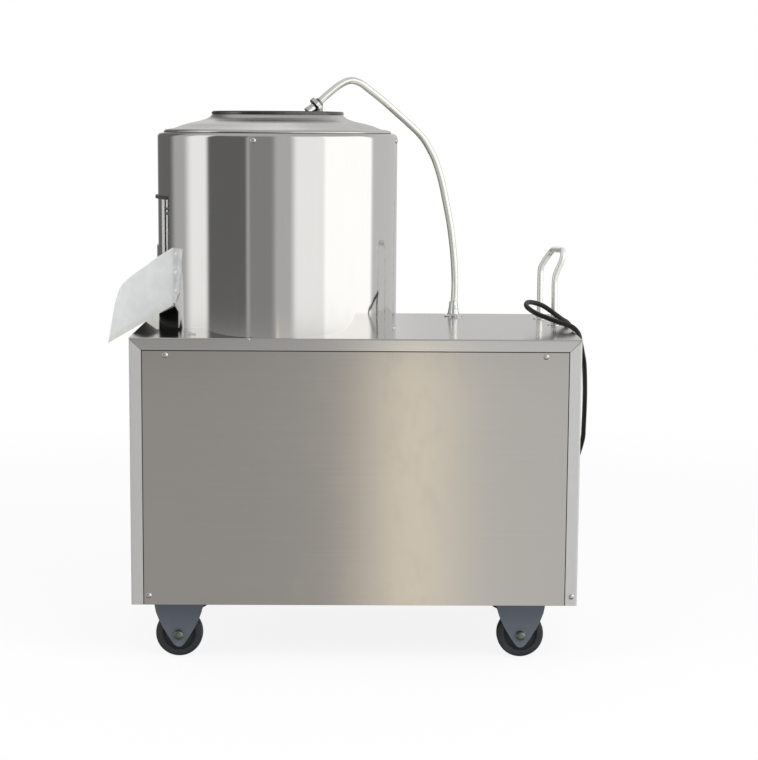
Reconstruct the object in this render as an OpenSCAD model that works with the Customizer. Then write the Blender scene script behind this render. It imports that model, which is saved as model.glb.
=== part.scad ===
// Electric potato peeler: an upright abrasive drum on a wheeled stainless cabinet.
// X runs along the cabinet (the discharge chute is at -X, the push handle at +X), Y runs from the
// front to the back, Z is up and z = 0 is the floor. Sizes are in millimetres.

/* [Cabinet] */
// Width of the cabinet along X
cab_w = 700; // [690:2:730]
// Depth of the cabinet along Y
cab_d = 410; // [408:2:430]
// Height of the cabinet's walls
cab_h = 421; // [410:1:450]
// Thickness of the stainless sheet
sheet_t = 1.5; // [1:0.1:2]
// Width of the folded edge around the front and back panels
flange_w = 19; // [16:0.5:21]
// Gap between a panel and the folded edge around it
panel_gap = 0.8; // [0.4:0.1:1.5]
// Outside width of the square tube of the frame
tube_w = 30; // [26:1:32]
// Wall of the square tube
tube_t = 2; // [1.5:0.1:3]
// Height of the motor rails above the foot of the frame
motor_rail_h = 65; // [60:1:75]
// Height of the cooling slots in the back panel
vent_h = 60; // [30:1:80]
// Number of cooling slots
vent_count = 9; // [4:1:12]

/* [Casters] */
// Distance from the floor to the foot of the cabinet
caster_h = 97; // [94:1:110]
// Diameter of a wheel
wheel_d = 75; // [70:1:78]
// Width of a wheel
wheel_w = 24; // [20:1:24]
// Diameter of a wheel's axle bolt
axle_d = 8; // [6:0.5:10]
// Distance of the left wheels' axles from the cabinet's left side
caster_in_left = 70; // [60:1:90]
// Distance of the right wheels' axles from the cabinet's right side
caster_in_right = 84; // [60:1:100]
// Distance of a wheel's middle from the cabinet's front or back
caster_in_y = 60; // [52:1:75]
// Width of a fork at its top
fork_w = 79; // [70:1:84]
// Thickness of a fork's sheet
fork_t = 2.5; // [2:0.1:2.5]

/* [Drum] */
// Outside diameter of the drum
drum_d = 388; // [380:1:394]
// Height of the drum above the cabinet
drum_h = 313; // [290:1:350]
// Radius of the drum's rounded shoulder
shoulder_r = 10; // [8:1:16]
// Thickness of the drum's wall
drum_t = 2; // [1.5:0.1:2.5]
// Thickness of the abrasive lining
lining_t = 5; // [4:0.5:6]
// Place of the drum's axis along X, from the middle of the cabinet
drum_off_x = -128; // [-140:1:-120]
// Place of the drum's axis along Y, from the middle of the cabinet
drum_off_y = -7; // [-9:1:7]

/* [Lid] */
// Height of the lid from the seam to the top of its rim
lid_h = 35; // [30:1:45]
// Outside diameter of the rolled rim
rim_d = 214; // [190:1:230]
// Diameter of the bead in the rolled rim
bead_d = 6.5; // [5:0.5:8]
// Height of the skirt that sits on the drum
skirt_h = 5; // [3:0.5:7]

/* [Discharge] */
// Width of the opening in the drum
opening_w = 164; // [150:1:168]
// Height of the opening in the drum
opening_h = 82; // [70:1:90]
// Height of the opening's sill above the cabinet
sill_h = 46; // [40:1:50]
// Thickness of the sliding gate
gate_t = 2; // [1.5:0.1:2.5]
// How far the gate covers the wall around the opening
gate_cover = 5; // [3:0.5:6]
// How far the gate lifts
gate_lift = 74; // [60:1:76]
// Inside width of the chute
chute_w = 218; // [212:1:224]
// Reach of the chute's tip from the drum's axis
chute_reach = 264.5; // [240:0.5:280]
// Height of the chute's tip above the foot of the drum, negative when it is lower
chute_tip_z = -17; // [-30:1:0]

/* [Drive] */
// Diameter of the main shaft
shaft_d = 30; // [25:1:34]
// Outside diameter of the bearings
bearing_d = 62; // [58:1:66]
// Width of a bearing
bearing_w = 16; // [14:1:18]
// Length of the bearing housing below its flange
housing_h = 120; // [90:1:130]
// Thickness of the turntable
turntable_t = 14; // [10:1:16]
// Gap between the turntable and the lining
turntable_gap = 4; // [3:0.5:6]
// Thickness of the abrasive layer on the turntable
abrasive_t = 5; // [3:0.5:7]
// Outside diameter of the driven pulley
driven_d = 250; // [220:1:260]
// Outside diameter of the motor pulley
motor_pulley_d = 76; // [70:1:90]
// Width of a pulley's rim
pulley_w = 25; // [23:1:30]
// Width of the V-belt at its back
belt_w = 17; // [15:0.5:18]
// Thickness of the V-belt
belt_t = 11; // [9:0.5:12]

/* [Motor] */
// Diameter of the motor's frame over the fins
motor_d = 160; // [140:1:165]
// Length of the motor's frame
motor_l = 170; // [140:1:180]
// Length of the fan cover
fan_cover_l = 45; // [35:1:55]
// Diameter of the motor's flange
motor_flange_d = 195; // [180:1:200]
// Diameter of the motor's shaft
motor_shaft_d = 24; // [19:1:28]
// Place of the motor's axis along X, from the middle of the cabinet
motor_off_x = 150; // [140:1:155]
// Place of the motor's axis along Y, from the middle of the cabinet
motor_off_y = 15; // [0:1:25]
// Thickness of the motor plate
motor_plate_t = 8; // [6:0.5:10]

/* [Water] */
// Outside diameter of the spray hose
hose_d = 12; // [10:0.5:13]
// Height of the conical fitting at the foot of the spray hose
fitting_h = 26; // [20:1:28]
// Diameter of the fitting's flange
fitting_d = 32; // [28:1:36]
// Outside diameter of the drain pipe
drain_d = 50; // [44:1:54]
// Wall of the drain pipe
drain_t = 2.5; // [2:0.1:3.5]
// How far the drain and water connections stand out behind the cabinet
rear_reach = 43; // [38:1:60]
// Diameter of the water inlet's male thread
inlet_d = 21; // [18:0.5:26]

/* [Handle and controls] */
// Diameter of the push handle's rod
handle_d = 10; // [8:0.5:12]
// Depth of the switch box
switch_box_t = 28; // [24:1:30]
// Diameter of a push button
button_d = 18; // [14:1:22]
// How far a button stands out of the switch box
button_out = 6; // [5:0.5:8]
// Travel of a button
button_travel = 3; // [2:0.5:4]
// Diameter of the power cord
cord_d = 8; // [7:0.5:9]

/* [Hidden] */
$fn = 64;

// Clearances
fit = 0.05;        // round parts that turn or sit in each other
loose = 0.3;       // parts of different bodies that pass each other
bolt_play = 0.5;   // a bolt in its hole
weld = 0.01;       // overlap that joins two shapes of one solid

// Heights
foot_z = caster_h;
top_z = foot_z + cab_h;
seam_z = top_z + drum_h;
rim_z = seam_z + lid_h;
corner_plate_t = 3;
frame_z = foot_z + corner_plate_t;
rail_top_z = top_z - sheet_t;
motor_rail_z = foot_z + motor_rail_h;

// The part's origin is under the middle of its box, and the cabinet is set off from it
screw_head_t = 2.5;
reach_left = chute_reach - drum_off_x;
reach_right = cab_w/2 + switch_box_t + button_out;
reach_front = cab_d/2 + screw_head_t;
reach_back = cab_d/2 + rear_reach;
cab_x = (reach_left - reach_right)/2;
cab_y = (reach_front - reach_back)/2;

// Cabinet
half_w = cab_w/2;
half_d = cab_d/2;
post_x = half_w - sheet_t - tube_w/2;
post_y = half_d - sheet_t - tube_w/2;
inner_x = post_x - tube_w/2;
inner_y = post_y - tube_w/2;
mitre_gap = 0.6;
screw_d = 5;
screw_head_d = 9;
vent_w = 6;
vent_pitch = 16;
vent_z = foot_z + 120;

// Drum
drum_r = drum_d/2;
lining_r = drum_r - drum_t - lining_t;
floor_t = 4;
floor_z = top_z + floor_t;
sill_z = top_z + sill_h;
seam_r = drum_r - shoulder_r;
housing_flange_d = 150;
housing_flange_t = 8;
housing_wall = 9;
housing_pcd = 120;
housing_bolt_d = 10;
seal_t = 8;

// Lid
rim_r = rim_d/2;
neck_r = rim_r - bead_d;
lid_t = 1.5;

// Gate and its guides, as radii from the drum's axis
gate_r = drum_r + loose;
guide_t = 1.5;
guide_r = gate_r + gate_t + loose;
gate_half = opening_w/2 + gate_cover;
guide_half = gate_half + 4;
gate_z0 = sill_z - gate_cover;
gate_h = opening_h + 2*gate_cover;

// Rotor
turntable_r = lining_r - turntable_gap;
abrasive_z = sill_z - abrasive_t;
turntable_z = abrasive_z - turntable_t;
hub_r = 42;
nut_z = abrasive_z + abrasive_t;
groove_slope = tan(20);
belt_proud = 1;
groove_depth = belt_t + 3;
belt_z = motor_rail_z + tube_w/2 - 27;
rotor_foot_z = belt_z - pulley_w/2 - 14;

// Motor
motor_gap_x = 95;
motor_pcd = 178;
motor_bolt_d = 10;
motor_plate_z = motor_rail_z + tube_w;
motor_z = motor_plate_z + motor_plate_t;
motor_flange_t = 10;
fin_count = 20;
fin_h = 6;

// Belt run between the two pulleys
belt_dx = motor_off_x - drum_off_x;
belt_dy = motor_off_y - drum_off_y;
belt_l = norm([belt_dx, belt_dy]);
belt_turn = atan2(belt_dy, belt_dx);
belt_wrap = acos((driven_d - motor_pulley_d)/2/belt_l);

// Drain and water
drain_off_y = 140;
drain_drop = 238;
drain_z = top_z - drain_drop;
collar_t = 8;
spigot_step = 1;
hose_x = 170;
hose_y = half_d - 46;
inlet_drop = 78;
inlet_z = top_z - inlet_drop;
pipe_d = 12;

// Casters
axle_z = wheel_d/2;
caster_plate_t = 3;
fork_gap = wheel_w/2 + 2;
fork_tip_r = 17;
wheel_places = [
    [-half_w + caster_in_left, -half_d + caster_in_y],
    [half_w - caster_in_right, -half_d + caster_in_y],
    [-half_w + caster_in_left, half_d - caster_in_y],
    [half_w - caster_in_right, half_d - caster_in_y]
];
caster_bolt_d = 6;
caster_bolt_x = 31;
caster_bolt_y = 22;

// Switch box on the right side
switch_w = 70;
switch_h = 80;
switch_y = 135;
switch_drop = 83;
switch_z = top_z - switch_drop;
switch_hole_d = 30;
switch_wall = 2.5;
start_z = switch_z + 17;
stop_z = switch_z - 17;

// Gland on the right side, and the boot that leads the cord up along the panel
gland_y = 150;
gland_up = 118;
gland_z = foot_z + gland_up;
gland_x = half_w + 12;
gland_in = sheet_t + 8;
boot_l = 28;
boot_dir = [0.35, -0.42, 0.84];

// Route of the spray hose, measured from its foot on the top cover. Its far end is led to the
// nozzle's place over the rim
hose_route = [
    [1, 0, 26], [2, 1, 58], [0, 0, 97], [-4, -1, 134], [-9, -3, 166],
    [-16, -5, 200], [-24, -8, 235], [-34, -11, 266], [-45, -15, 288], [-59, -20, 309],
    [-81, -27, 330], [-103, -35, 349], [-125, -42, 368], [-147, -49, 385], [-162, -54, 396],
    [-176, -59, 401], [-188, -63, 399], [-203, -68, 390], [-215, -72, 380], [-223, -75, 373]
];
nozzle_out = 11;
nozzle_up = 25;
nozzle_turn = 50.5;
nozzle_dir = [-0.72, -0.24, -0.65];
nozzle_l = 46;
nozzle_r = rim_r + nozzle_out;
hose_foot = [hose_x, hose_y, top_z];
hose_end = [drum_off_x + nozzle_r*cos(nozzle_turn), drum_off_y + nozzle_r*sin(nozzle_turn),
            rim_z + nozzle_up];
hose_last = len(hose_route) - 1;
hose_shift = hose_end - hose_foot - hose_route[hose_last];
hose_points = [for (i = [0 : hose_last]) hose_foot + hose_route[i] + i/hose_last*hose_shift];

// Route of the push handle's rod, measured from the right end of the top cover
handle_route = [
    [-20, 20, 0], [-20, 20, 42], [-20, 20, 74], [-17, 20, 88], [-10, 20, 104], [-7, 22, 116],
    [-7, 32, 123], [-10, 70, 122], [-13, 106, 120], [-15, 116, 117], [-20, 120, 110],
    [-28, 120, 98], [-33, 120, 88], [-34, 120, 76], [-34, 120, 42], [-34, 120, 0]
];
handle_points = [for (p = handle_route) [half_w, 0, top_z] + p];

// Route of the power cord: up the right side, a loop in front of the handle, back over the
// edge, down the right side and round to the floor behind the cabinet
cord_points = [
    [372, 138, 239], [380, 127, 256], [390, 90, 310], [389, 65, 342],
    [383, 12, 403], [374, -44, 457], [368, -63, 481],
    [363, -75, 499], [359, -77, 514], [350, -71, 524], [338, -61, 528], [324, -52, 532],
    [310, -47, 537], [296, -42, 542], [285, -31, 548], [280, -16, 553], [283, -1, 557],
    [294, 10, 556], [309, 13, 551], [322, 11, 543], [333, 9, 535], [343, 11, 528],
    [351, 17, 523], [357, 26, 516], [361, 37, 503], [361, 50, 484], [359, 63, 452],
    [357, 83, 365], [358, 100, 260], [362, 126, 152], [363, 150, 106], [362, 182, 66],
    [357, 212, 34], [348, 243, 12], [341, 261, 5], [335, 275, 5]
];
coil_centre = [285, 275];
coil_r = 46;
tail_points = [[285, 321, 11], [262, 322, 9], [240, 322, 12], [225, 322, 12]];
plug_place = [225, 322, 12];

// ---- Helpers ----

module at_cabinet() {
    translate([cab_x, cab_y, 0])
        children();
}

module at_drum() {
    translate([cab_x + drum_off_x, cab_y + drum_off_y, 0])
        children();
}

module at_motor() {
    translate([cab_x + motor_off_x, cab_y + motor_off_y, 0])
        children();
}

// A copy at each quarter of the given half spacings
module four_corners(x, y) {
    for (sx = [-1, 1], sy = [-1, 1])
        translate([sx*x, sy*y, 0])
            children();
}

module both_sides() {
    children();
    mirror([0, 1, 0])
        children();
}

function unit(v) = v/norm(v);
function tangent(p, i) = unit(p[min(i + 1, len(p) - 1)] - p[max(i - 1, 0)]);
function first_side(t) = unit(cross(t, abs(t[2]) < 0.9 ? [0, 0, 1] : [1, 0, 0]));

// One sideways direction for each point of a path, carried along without twist
function sides_along(p, i = 0, last = undef) =
    i >= len(p) ? [] :
    let (t = tangent(p, i),
         s = last == undef ? first_side(t) : unit(last - (last*t)*t))
    concat([s], sides_along(p, i + 1, s));

// A smooth curve through hand-chosen points, with steps spans between two of them
function curve_point(p, i, u) =
    let (a = p[max(i - 1, 0)], b = p[i], c = p[i + 1], d = p[min(i + 2, len(p) - 1)])
    0.5*(2*b + (c - a)*u + (2*a - 5*b + 4*c - d)*u*u + (3*b - a - 3*c + d)*u*u*u);
function curve(p, steps) = concat(
    [for (i = [0 : len(p) - 2], k = [0 : steps - 1]) curve_point(p, i, k/steps)],
    [p[len(p) - 1]]);

// A round rod or tube solid that follows a path
module rod_along(p, d, sides) {
    s = sides_along(p);
    points = [for (i = [0 : len(p) - 1], k = [0 : sides - 1])
        p[i] + d/2*(cos(360*k/sides)*s[i] + sin(360*k/sides)*cross(tangent(p, i), s[i]))];
    walls = [for (i = [0 : len(p) - 2], k = [0 : sides - 1])
        let (n = (k + 1) % sides)
        [i*sides + k, (i + 1)*sides + k, (i + 1)*sides + n, i*sides + n]];
    caps = [[for (k = [0 : sides - 1]) k],
            [for (k = [sides - 1 : -1 : 0]) (len(p) - 1)*sides + k]];
    polyhedron(points = points, faces = concat(walls, caps), convexity = 10);
}

// Turns +Z to a direction
module facing(v) {
    rotate([0, acos(v[2]/norm(v)), atan2(v[1], v[0])])
        children();
}

module ring(r_out, r_in, h) {
    difference() {
        cylinder(r = r_out, h = h);
        translate([0, 0, -1])
            cylinder(r = r_in, h = h + 2);
    }
}

// A square tube of the frame, from the origin along +Z
module square_tube(l) {
    difference() {
        translate([-tube_w/2, -tube_w/2, 0])
            cube([tube_w, tube_w, l]);
        translate([-tube_w/2 + tube_t, -tube_w/2 + tube_t, -1])
            cube([tube_w - 2*tube_t, tube_w - 2*tube_t, l + 2]);
    }
}

// A round-head screw with its head on z = 0
module round_screw(l) {
    difference() {
        cylinder(d1 = screw_head_d, d2 = screw_head_d - 3, h = screw_head_t);
        for (a = [0, 90])
            rotate(a)
                translate([-2.2, -0.45, screw_head_t - 1])
                    cube([4.4, 0.9, 2]);
    }
    translate([0, 0, -l])
        cylinder(d = screw_d, h = l + weld);
}

// The V-groove's half width at a distance below the pulley's rim
function groove_half(depth) = belt_w/2 + loose - (depth + belt_proud)*groove_slope;

module pulley(d, bore, hub_d, hub_h) {
    r = d/2;
    rotate_extrude()
        polygon([
            [bore/2 + fit, -pulley_w/2], [r, -pulley_w/2],
            [r, -groove_half(0)], [r - groove_depth, -groove_half(groove_depth)],
            [r - groove_depth, groove_half(groove_depth)], [r, groove_half(0)],
            [r, pulley_w/2], [hub_d/2, pulley_w/2],
            [hub_d/2, pulley_w/2 + hub_h], [bore/2 + fit, pulley_w/2 + hub_h]
        ]);
}

// The belt's section at a pulley radius: [distance from the axis, height]
function belt_section(r) =
    let (back = r + belt_proud, slim = belt_w/2 - belt_t*groove_slope)
    [[back, -belt_w/2], [back, belt_w/2], [back - belt_t, slim], [back - belt_t, -slim]];

// ---- Cabinet ----

// One corner plate for a caster, with its bolt holes
module corner_plate(i) {
    x = wheel_places[i][0];
    y = wheel_places[i][1];
    reach_x = half_w - sheet_t - abs(x) + 48;
    reach_y = half_d - sheet_t - abs(y) + 38;
    difference() {
        translate([x > 0 ? half_w - sheet_t - reach_x : -half_w + sheet_t,
                   y > 0 ? half_d - sheet_t - reach_y : -half_d + sheet_t, foot_z])
            cube([reach_x, reach_y, corner_plate_t + weld]);
        translate([x, y, foot_z - 1])
            four_corners(caster_bolt_x, caster_bolt_y)
                cylinder(d = caster_bolt_d + bolt_play, h = corner_plate_t + 2);
    }
}

module rails_x(z) {
    for (s = [-1, 1])
        translate([-inner_x, s*post_y, z + tube_w/2])
            rotate([0, 90, 0])
                square_tube(2*inner_x);
}

module rails_y(xs, z) {
    for (x = xs)
        translate([x, inner_y, z + tube_w/2])
            rotate([90, 0, 0])
                square_tube(2*inner_y);
}

module base_frame() {
    color("gainsboro") at_cabinet() {
        four_corners(post_x, post_y)
            translate([0, 0, frame_z])
                square_tube(rail_top_z - frame_z);
        rails_x(frame_z);
        rails_x(motor_rail_z);
        rails_x(rail_top_z - tube_w);
        rails_y([-post_x, post_x], frame_z);
        rails_y([-post_x, post_x], rail_top_z - tube_w);
        rails_y([motor_off_x - motor_gap_x, motor_off_x + motor_gap_x], motor_rail_z);
        for (i = [0 : 3])
            corner_plate(i);
    }
}

panel_w = 2*(half_w - flange_w - panel_gap);
panel_h = cab_h - flange_w - panel_gap;

module plain_panel() {
    translate([-panel_w/2, 0, foot_z])
        cube([panel_w, sheet_t, panel_h]);
}

module front_panel() {
    color("silver") at_cabinet()
        difference() {
            translate([0, -half_d, 0])
                plain_panel();
            panel_screw_holes(-1);
        }
}

module back_panel() {
    color("silver") at_cabinet()
        difference() {
            translate([0, half_d - sheet_t, 0])
                plain_panel();
            panel_screw_holes(1);
            for (i = [0 : vent_count - 1])
                translate([motor_off_x + (i - (vent_count - 1)/2)*vent_pitch - vent_w/2,
                           half_d - 2*sheet_t, vent_z])
                    cube([vent_w, 3*sheet_t, vent_h]);
            translate([drum_off_x, half_d + 1, drain_z])
                rotate([90, 0, 0])
                    cylinder(d = drain_d + bolt_play, h = 2*sheet_t + 2);
            translate([hose_x, half_d + 1, inlet_z])
                rotate([90, 0, 0])
                    cylinder(d = inlet_d + bolt_play, h = 2*sheet_t + 2);
        }
}

// A side wall with its folded edges at the front and back, for the right side
module side_wall() {
    translate([half_w - sheet_t, -half_d, foot_z])
        cube([sheet_t, cab_d, cab_h - sheet_t]);
    for (y = [-half_d + sheet_t, half_d])
        translate([0, y, 0])
            rotate([90, 0, 0])
                linear_extrude(sheet_t)
                    polygon([
                        [half_w - flange_w, foot_z], [half_w - weld, foot_z],
                        [half_w - weld, top_z - sheet_t],
                        [half_w - sheet_t - mitre_gap, top_z - sheet_t],
                        [half_w - flange_w, top_z - flange_w - mitre_gap]
                    ]);
}

module left_panel() {
    color("silver") at_cabinet()
        mirror([1, 0, 0])
            side_wall();
}

module right_panel() {
    color("silver") at_cabinet()
        difference() {
            side_wall();
            corner_screw_holes();
            translate([half_w - 2*sheet_t, gland_y, gland_z])
                rotate([0, 90, 0])
                    cylinder(d = 14 + bolt_play, h = 3*sheet_t);
            translate([half_w - 2*sheet_t, switch_y, switch_z])
                rotate([0, 90, 0])
                    cylinder(d = switch_hole_d, h = 3*sheet_t);
        }
}

module top_cover() {
    color("silver") at_cabinet()
        difference() {
            union() {
                translate([-half_w, -half_d, top_z - sheet_t])
                    cube([cab_w, cab_d, sheet_t]);
                for (y = [-half_d + sheet_t, half_d])
                    translate([0, y, 0])
                        rotate([90, 0, 0])
                            linear_extrude(sheet_t)
                                polygon([
                                    [-half_w + sheet_t, top_z - sheet_t],
                                    [-half_w + flange_w, top_z - flange_w],
                                    [half_w - flange_w, top_z - flange_w],
                                    [half_w - sheet_t, top_z - sheet_t],
                                    [half_w - sheet_t, top_z - weld],
                                    [-half_w + sheet_t, top_z - weld]
                                ]);
            }
            translate([drum_off_x, drum_off_y, 0])
                floor_holes();
            translate([hose_x, hose_y, top_z - 2*sheet_t])
                cylinder(d = pipe_d + bolt_play, h = 3*sheet_t);
        }
}

// Holes through the top cover and the drum's floor, about the drum's axis
module floor_holes() {
    translate([0, 0, top_z - 5])
        cylinder(d = bearing_d - 6, h = 20);
    translate([0, drain_off_y, top_z - 5])
        cylinder(d = drain_d + bolt_play, h = 20);
    for (a = [45 : 90 : 315])
        rotate(a)
            translate([housing_pcd/2, 0, top_z - 5])
                cylinder(d = housing_bolt_d + bolt_play, h = 20);
}

// Screw places on the front and back: on the panel's top rail, the posts and the right edge
upper_screw_x = half_w - 56;
lower_screw_x = post_x - 11;
edge_screw_x = half_w - flange_w/2;
upper_screw_z = rail_top_z - tube_w + 5;
lower_screw_z = frame_z + 12;

module panel_screw_holes(side) {
    for (p = [[-upper_screw_x, upper_screw_z], [upper_screw_x, upper_screw_z],
              [-lower_screw_x, lower_screw_z]])
        translate([p[0], side*half_d, p[1]])
            rotate([90, 0, 0])
                cylinder(d = screw_d + bolt_play, h = 6*sheet_t, center = true);
}

module corner_screw_holes() {
    for (y = [-half_d, half_d])
        translate([edge_screw_x, y, lower_screw_z])
            rotate([90, 0, 0])
                cylinder(d = screw_d + bolt_play, h = 6*sheet_t, center = true);
}

module panel_screws() {
    shank = sheet_t;
    color("gainsboro") at_cabinet()
        for (side = [-1, 1], p = [[-upper_screw_x, upper_screw_z], [upper_screw_x, upper_screw_z],
                                  [-lower_screw_x, lower_screw_z], [edge_screw_x, lower_screw_z]])
            translate([p[0], side*half_d, p[1]])
                rotate([side*-90, 0, 0])
                    round_screw(shank);
    // Four screws hold the lid to the drum's shoulder
    color("gainsboro") at_drum()
        for (a = [-99, -9, 81, 171])
            rotate(a)
                translate([drum_r, 0, lid_screw_z])
                    rotate([0, 90, 0])
                        round_screw(drum_t);
}

// ---- Drum and lid ----

lid_screw_z = seam_z - shoulder_r - 1;

module drum_shell() {
    color("silver") at_drum()
        difference() {
            rotate_extrude($fn = 96)
                polygon(concat(
                    [[drum_r - drum_t, top_z], [drum_r, top_z]],
                    [for (a = [0 : 10 : 90])
                        [seam_r + shoulder_r*cos(a), seam_z - shoulder_r + shoulder_r*sin(a)]],
                    [[seam_r - 8, seam_z], [seam_r - 8, seam_z - drum_t]],
                    [for (a = [90 : -10 : 0])
                        [seam_r + (shoulder_r - drum_t)*cos(a),
                         seam_z - shoulder_r + (shoulder_r - drum_t)*sin(a)]]));
            discharge_cut(0);
            for (a = [-99, -9, 81, 171])
                rotate(a)
                    translate([drum_r - 2*drum_t, 0, lid_screw_z])
                        rotate([0, 90, 0])
                            cylinder(d = screw_d + bolt_play, h = 3*drum_t);
        }
}

// The opening through the drum's wall at -X, grown by a margin
module discharge_cut(grow) {
    translate([-drum_r - 20, -opening_w/2 - grow, sill_z - grow])
        cube([100, opening_w + 2*grow, opening_h + 2*grow]);
}

module drum_lining() {
    color("dimgray") at_drum()
        difference() {
            translate([0, 0, sill_z - 30])
                rotate_extrude($fn = 96)
                    polygon([
                        [lining_r, 0], [drum_r - drum_t, 0],
                        [drum_r - drum_t, drum_h - sill_h + 30 - shoulder_r - 6],
                        [lining_r, drum_h - sill_h + 30 - shoulder_r - 10]
                    ]);
            discharge_cut(0);
        }
}

module drum_floor() {
    color("gray") at_drum()
        difference() {
            translate([0, 0, top_z])
                cylinder(r = drum_r - drum_t - loose, h = floor_t, $fn = 96);
            floor_holes();
        }
}

// The lid's outer line from the seam up to the neck: [radius, height above the seam]
neck_foot_r = neck_r + 13;
function cone_r(share) = neck_foot_r + share*(seam_r - neck_foot_r);
lid_line = [[seam_r, 0], [seam_r, skirt_h - 2], [seam_r - 2, skirt_h],
    [cone_r(0.77), 0.2*lid_h], [cone_r(0.575), 0.35*lid_h], [cone_r(0.375), 0.46*lid_h],
    [cone_r(0.15), 0.56*lid_h], [neck_foot_r, 0.66*lid_h], [neck_r + 8, 0.76*lid_h],
    [neck_r + 5, 0.86*lid_h]];

module lid() {
    color("silver") at_drum()
        translate([0, 0, seam_z])
            rotate_extrude($fn = 96)
                union() {
                    polygon(concat(
                        lid_line,
                        [[neck_r + 4, lid_h - bead_d/2], [neck_r + 2, lid_h - bead_d/2]],
                        [for (i = [len(lid_line) - 1 : -1 : 2])
                            [lid_line[i][0] - lid_t, lid_line[i][1] - lid_t]],
                        [[seam_r - lid_t - 2, 0]]));
                    translate([rim_r - bead_d/2, lid_h - bead_d/2])
                        circle(d = bead_d, $fn = 24);
                }
}

// ---- Discharge chute and gate ----

chute_half = chute_w/2;
chute_t = 1.5;
chute_root_x = -sqrt(pow(drum_r, 2) - pow(chute_half, 2));
chute_out = chute_root_x + chute_reach;
chute_slope = (sill_h - 2 - chute_tip_z)/chute_out;
side_h = 88;
fold_h = 87;
fold_w = 21;
rivet_low = 20;
rivet_top = 10;
rivet_pitch = (fold_h - rivet_low - rivet_top)/2;
rivet_turn = asin((chute_half + 0.4*fold_w)/drum_r);

// Height of the chute's floor above the cabinet at a place along X from the drum's axis
function chute_floor(x) = sill_h - 2 + (x - chute_root_x)*chute_slope;

// Side outline in X and Z, measured from the drum's axis and the cabinet's top. Its lower edge
// follows the floor, with a foot that ends just over the cabinet
foot_x = -drum_r + 10;
foot_gap = 4;
side_outline = [
    [chute_root_x, sill_h + side_h], [chute_root_x - 0.22*chute_out, sill_h + 0.84*side_h],
    [chute_root_x - 0.42*chute_out, sill_h + 0.66*side_h],
    [chute_root_x - 0.575*chute_out, sill_h + 0.535*side_h],
    [chute_root_x - 0.715*chute_out, sill_h + 0.4*side_h],
    [chute_root_x - 0.775*chute_out, sill_h + 0.325*side_h],
    [chute_root_x - 0.82*chute_out, sill_h + 0.245*side_h],
    [chute_root_x - 0.853*chute_out, sill_h + 0.145*side_h],
    [chute_root_x - 0.89*chute_out, sill_h - 0.01*side_h],
    [-chute_reach, chute_tip_z - chute_t], [foot_x - 21, chute_floor(foot_x - 21) - chute_t],
    [foot_x - 4, foot_gap], [foot_x, foot_gap], [foot_x, chute_floor(foot_x) - chute_t],
    [chute_root_x, chute_floor(chute_root_x) - chute_t]
];

module chute_side() {
    translate([0, -chute_half, top_z])
        rotate([90, 0, 0])
            linear_extrude(chute_t)
                polygon(side_outline);
    // The edge that is folded back along the drum, narrower towards its foot
    intersection() {
        translate([0, 0, sill_z])
            ring(drum_r + chute_t, drum_r, fold_h, $fn = 160);
        translate([chute_root_x - 3, -chute_half, sill_z])
            rotate([90, 0, 90])
                linear_extrude(fold_w + 8)
                    polygon([
                        [-chute_t/2, -1], [-chute_t/2, fold_h + 1], [-fold_w, fold_h + 1],
                        [-0.72*fold_w, 0.19*fold_h], [-0.36*fold_w, 0.04*fold_h],
                        [-0.36*fold_w, -1]
                    ]);
    }
}

module discharge_chute() {
    color("gainsboro") at_drum()
        difference() {
            union() {
                both_sides()
                    chute_side();
                // Floor from the sill down to the tip
                difference() {
                    translate([0, (chute_w + chute_t)/2, top_z])
                        rotate([90, 0, 0])
                            linear_extrude(chute_w + chute_t)
                                polygon([
                                    [chute_root_x - 2, chute_floor(chute_root_x - 2)],
                                    [1 - chute_reach, chute_floor(1 - chute_reach)],
                                    [1 - chute_reach, chute_floor(1 - chute_reach) - 1.2],
                                    [chute_root_x - 2, chute_floor(chute_root_x - 2) - 1.2]
                                ]);
                    translate([0, 0, top_z - 50])
                        cylinder(r = guide_r + guide_t + loose, h = 200, $fn = 160);
                }
            }
            rivet_places()
                cylinder(d = 4 + fit, h = 10, center = true);
        }
}

module rivet_places() {
    for (s = [-1, 1], i = [0 : 2])
        rotate([0, 0, 180 + s*rivet_turn])
            translate([drum_r + chute_t, 0, sill_z + rivet_low + i*rivet_pitch])
                rotate([0, 90, 0])
                    children();
}

module chute_rivets() {
    color("silver") at_drum()
        rivet_places() {
            sphere_cap(7, 2);
            translate([0, 0, -chute_t])
                cylinder(d = 4, h = chute_t + weld);
        }
}

// A low domed head of diameter d and height h
module sphere_cap(d, h) {
    r = (d*d/4 + h*h)/(2*h);
    intersection() {
        translate([0, 0, h - r])
            sphere(r = r, $fn = 32);
        cylinder(d = d, h = h, $fn = 32);
    }
}

// A strip of a cylinder wall at -X between two sideways limits
module wall_strip(r_out, r_in, y0, y1, z0, z1) {
    intersection() {
        translate([0, 0, z0])
            ring(r_out, r_in, z1 - z0, $fn = 160);
        translate([-r_out - 1, y0, z0 - 1])
            cube([r_out, y1 - y0, z1 - z0 + 2]);
    }
}

guide_top_z = gate_z0 + gate_h + gate_lift + 1;

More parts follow.
